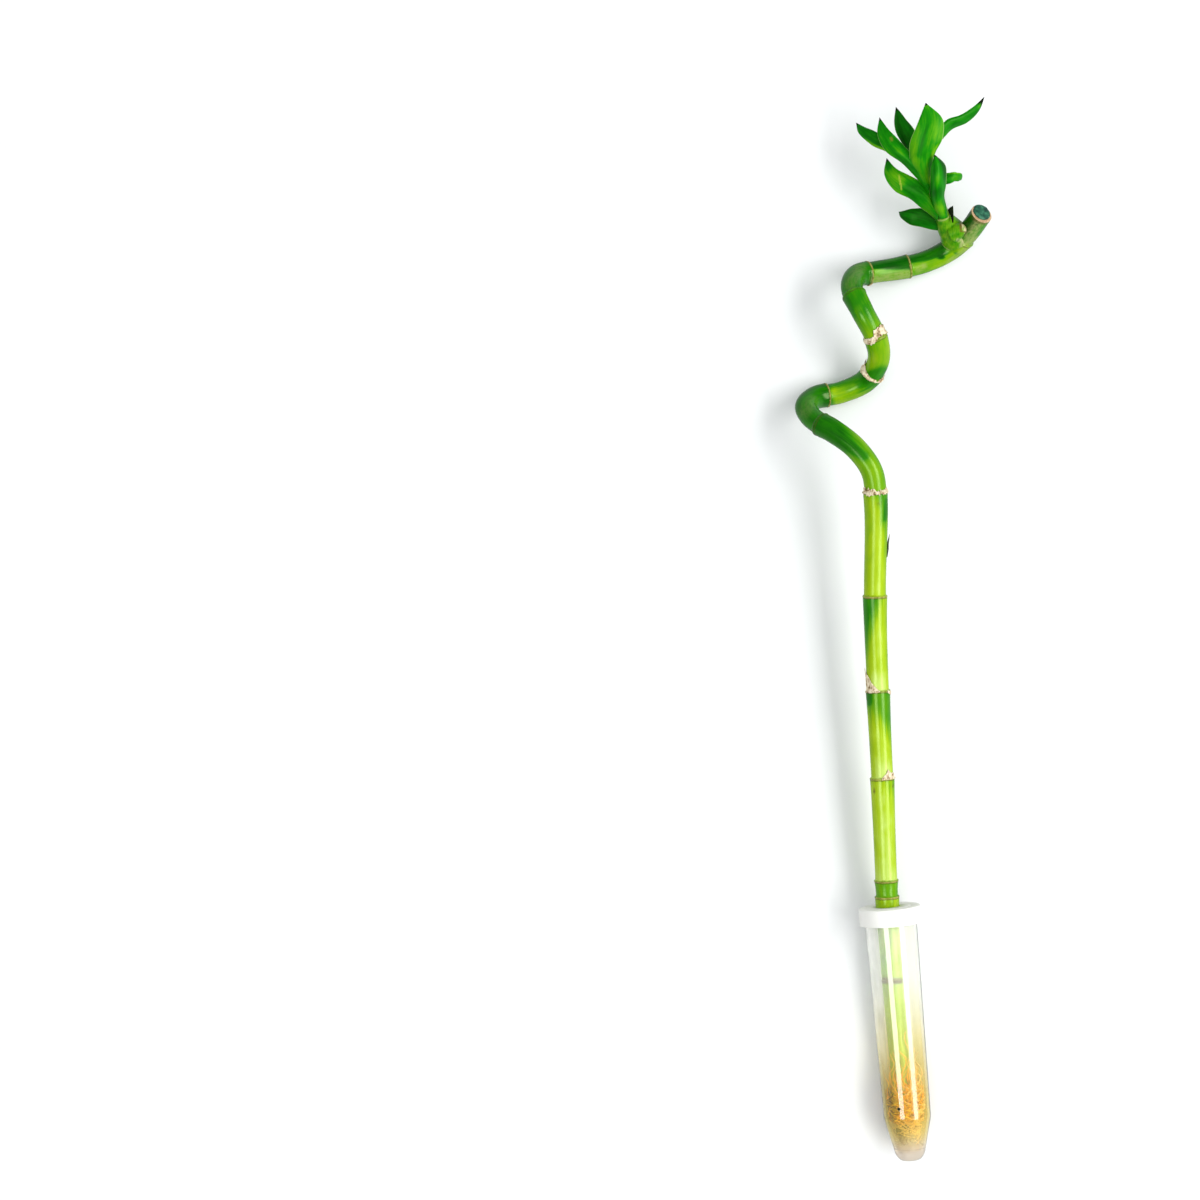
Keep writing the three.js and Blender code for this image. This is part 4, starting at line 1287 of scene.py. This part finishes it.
def water_body():
    """The tube's inside as rings of points, cut off level, with a closed face at both ends."""
    distances = np.linspace(TUBE_FLOOR + WATER_GAP, WATER_END, WATER_RINGS)
    walls = np.array(outer_radii) - TUBE_WALL
    radii = np.interp(distances, [TUBE_FLOOR, SHOULDER_AT, MOUTH_AT], walls) - WATER_GAP
    points = tube_rings(zip(distances, radii), WATER_SIDES)
    points[:, 2] = np.minimum(points[:, 2], WATER_LEVEL)
    first_ring = list(range(WATER_SIDES))
    last_ring = range(len(points) - WATER_SIDES, len(points))
    return points, [first_ring[::-1], *ring_faces(WATER_RINGS, WATER_SIDES), last_ring]


standing_water = solid_piece("standing_water", [water_body()], water_finish())
water_reach, _, _ = in_tube(vertices_of(standing_water.data))
store(standing_water.data, "stain", 1 - ease(water_reach, *WATER_STAIN_TO))
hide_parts("water")
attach(standing_water, "root")

# ---- roots ----
# A tangle of thin yellow to orange roots that spring from the foot of the cane, most of them
# winding back along it towards the cap and a few reaching for the tip.
ROOT_COUNT = 230
ROOT_POINTS = 24
ROOT_SIDES = 6
SPRING_FROM = (3, 14)  # millimetres up the cane's foot
BACK_SHARE = 0.75  # of them wind back along the cane
BACK_REACH = (3.0, 4.8)  # and so far, in millimetres: shape and scale of a gamma draw
LONGEST_BACK = 38
TIP_REACH = (4, 13)  # how far the others reach towards the tip
ROOM_SHARE = (0.45, 1.0)
HALF_WIDTHS = (0.26, 0.58)
CANE_SKIN = 4.2  # millimetres from the foot's middle at which a root starts
PALE_TO = (14, 24)  # millimetres from the tube's tip, where their paler colour fades out
PALENESS = 0.75
ROTTEN_AT = 8.5  # and where the brown ones below the cane's foot are
ROTTENNESS = 0.9
roots_random = np.random.default_rng(7)


def root_room(distance):
    """How far from the tube's axis a root can lie, in millimetres, at a distance from the tip."""
    return np.interp(distance, [0, TUBE_FLOOR + 0.4, SHOULDER_AT, MOUTH_AT], [0.5, 5.1, 9.4, 10.5])


def root_strand():
    """One root as points and half widths, wandering in the room round the foot."""
    foot = Vector(cane_line.at(np.array([roots_random.uniform(*SPRING_FROM) * MM]))[0]) - tube_tip
    start = foot.dot(tube_axis) / MM
    middle = np.array((foot.dot(tube_right), foot.dot(tube_up))) / MM
    turn = roots_random.uniform(0, 2 * math.pi)
    back = roots_random.random() < BACK_SHARE
    reach = min(roots_random.gamma(*BACK_REACH), LONGEST_BACK) if back else -roots_random.uniform(*TIP_REACH)
    wander = roots_random.uniform(-1, 1, 5)
    spread = roots_random.uniform(*ROOM_SHARE)
    thickness = roots_random.uniform(*HALF_WIDTHS)
    points, widths = [], []
    for share in np.linspace(0, 1, ROOT_POINTS):
        distance = start + reach * share
        room = root_room(distance) - thickness
        out = CANE_SKIN + (room * spread - CANE_SKIN) * ease(share, 0, 0.35)
        out = out + 0.7 * wander[0] * math.sin(9 * share + 4 * wander[1])
        angle = turn + 1.4 * wander[2] * math.sin(2.6 * share) + 0.3 * math.sin(13 * share + 6 * wander[3])
        place = middle * (1 - ease(share, 0, 0.6)) + out * np.array((math.cos(angle), math.sin(angle)))
        place = place * min(1, room / np.hypot(*place))
        points.append(tube_tip + (tube_axis * distance + tube_right * place[0] + tube_up * place[1]) * MM)
        widths.append(thickness * (1 - 0.7 * share) * MM)
    return np.array(points), widths


def root_finish():
    m = Nodes("root_skin")
    place = m.object_place()
    broad = m.noise(place, 160)
    fine = m.noise(place, 1600)
    each = m.noise(m.attribute("strand", "Vector"), (3.7, 3.7, 3.7), 0)
    tone = m.math("ADD", m.math("MULTIPLY", broad, 0.3), m.math("MULTIPLY", each, 1.2))
    # Painted light: the roots are made paler towards the tube's right, where the lamp falls, and darker on
    # its left.
    tone = m.math("SUBTRACT", m.math("MULTIPLY_ADD", m.attribute("to_right"), 0.28, tone), 0.25)
    colour = m.ramp(
        tone,
        (0.2, (0.16, 0.11, 0.006)),
        (0.34, (0.82, 0.58, 0.03)),
        (0.46, (0.95, 0.42, 0.01)),
        (0.58, (0.93, 0.55, 0.04)),
        (0.72, (0.9, 0.66, 0.42)),
    )
    colour = m.mix(m.attribute("towards_tip"), colour, (0.85, 0.67, 0.38))
    colour = m.mix(m.attribute("rotten"), colour, (0.16, 0.08, 0.03))
    m.set(base_color=m.mix(m.spread(fine, 0.3, 0.7, 0, 0.12), colour, (0.4, 0.2, 0.02)))
    m.set(roughness=m.spread(fine, 0.3, 0.7, 0.5, 0.75), specular_ior_level=0.25)
    m.bump(fine, 0.3, 0.0002)
    return m.material


strands = [root_strand() for _ in range(ROOT_COUNT)]
root_strands = sweep("root_strands", strands, ROOT_SIDES, root_finish())
root_reach, to_right, _ = in_tube(vertices_of(root_strands.data))
# Their side in the tube, which drives the painted light that makes the right side paler.
store(root_strands.data, "to_right", to_right / SHOULDER_RADIUS)
store(root_strands.data, "towards_tip", PALENESS * (1 - ease(root_reach, *PALE_TO)))
below_foot = 1 - ease(np.abs(root_reach - ROTTEN_AT), 1.5, 4.5)
store(root_strands.data, "rotten", ROTTENNESS * below_foot * (1 - ease(to_right, 1, 3)))
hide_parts("roots")
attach(root_strands, "root")
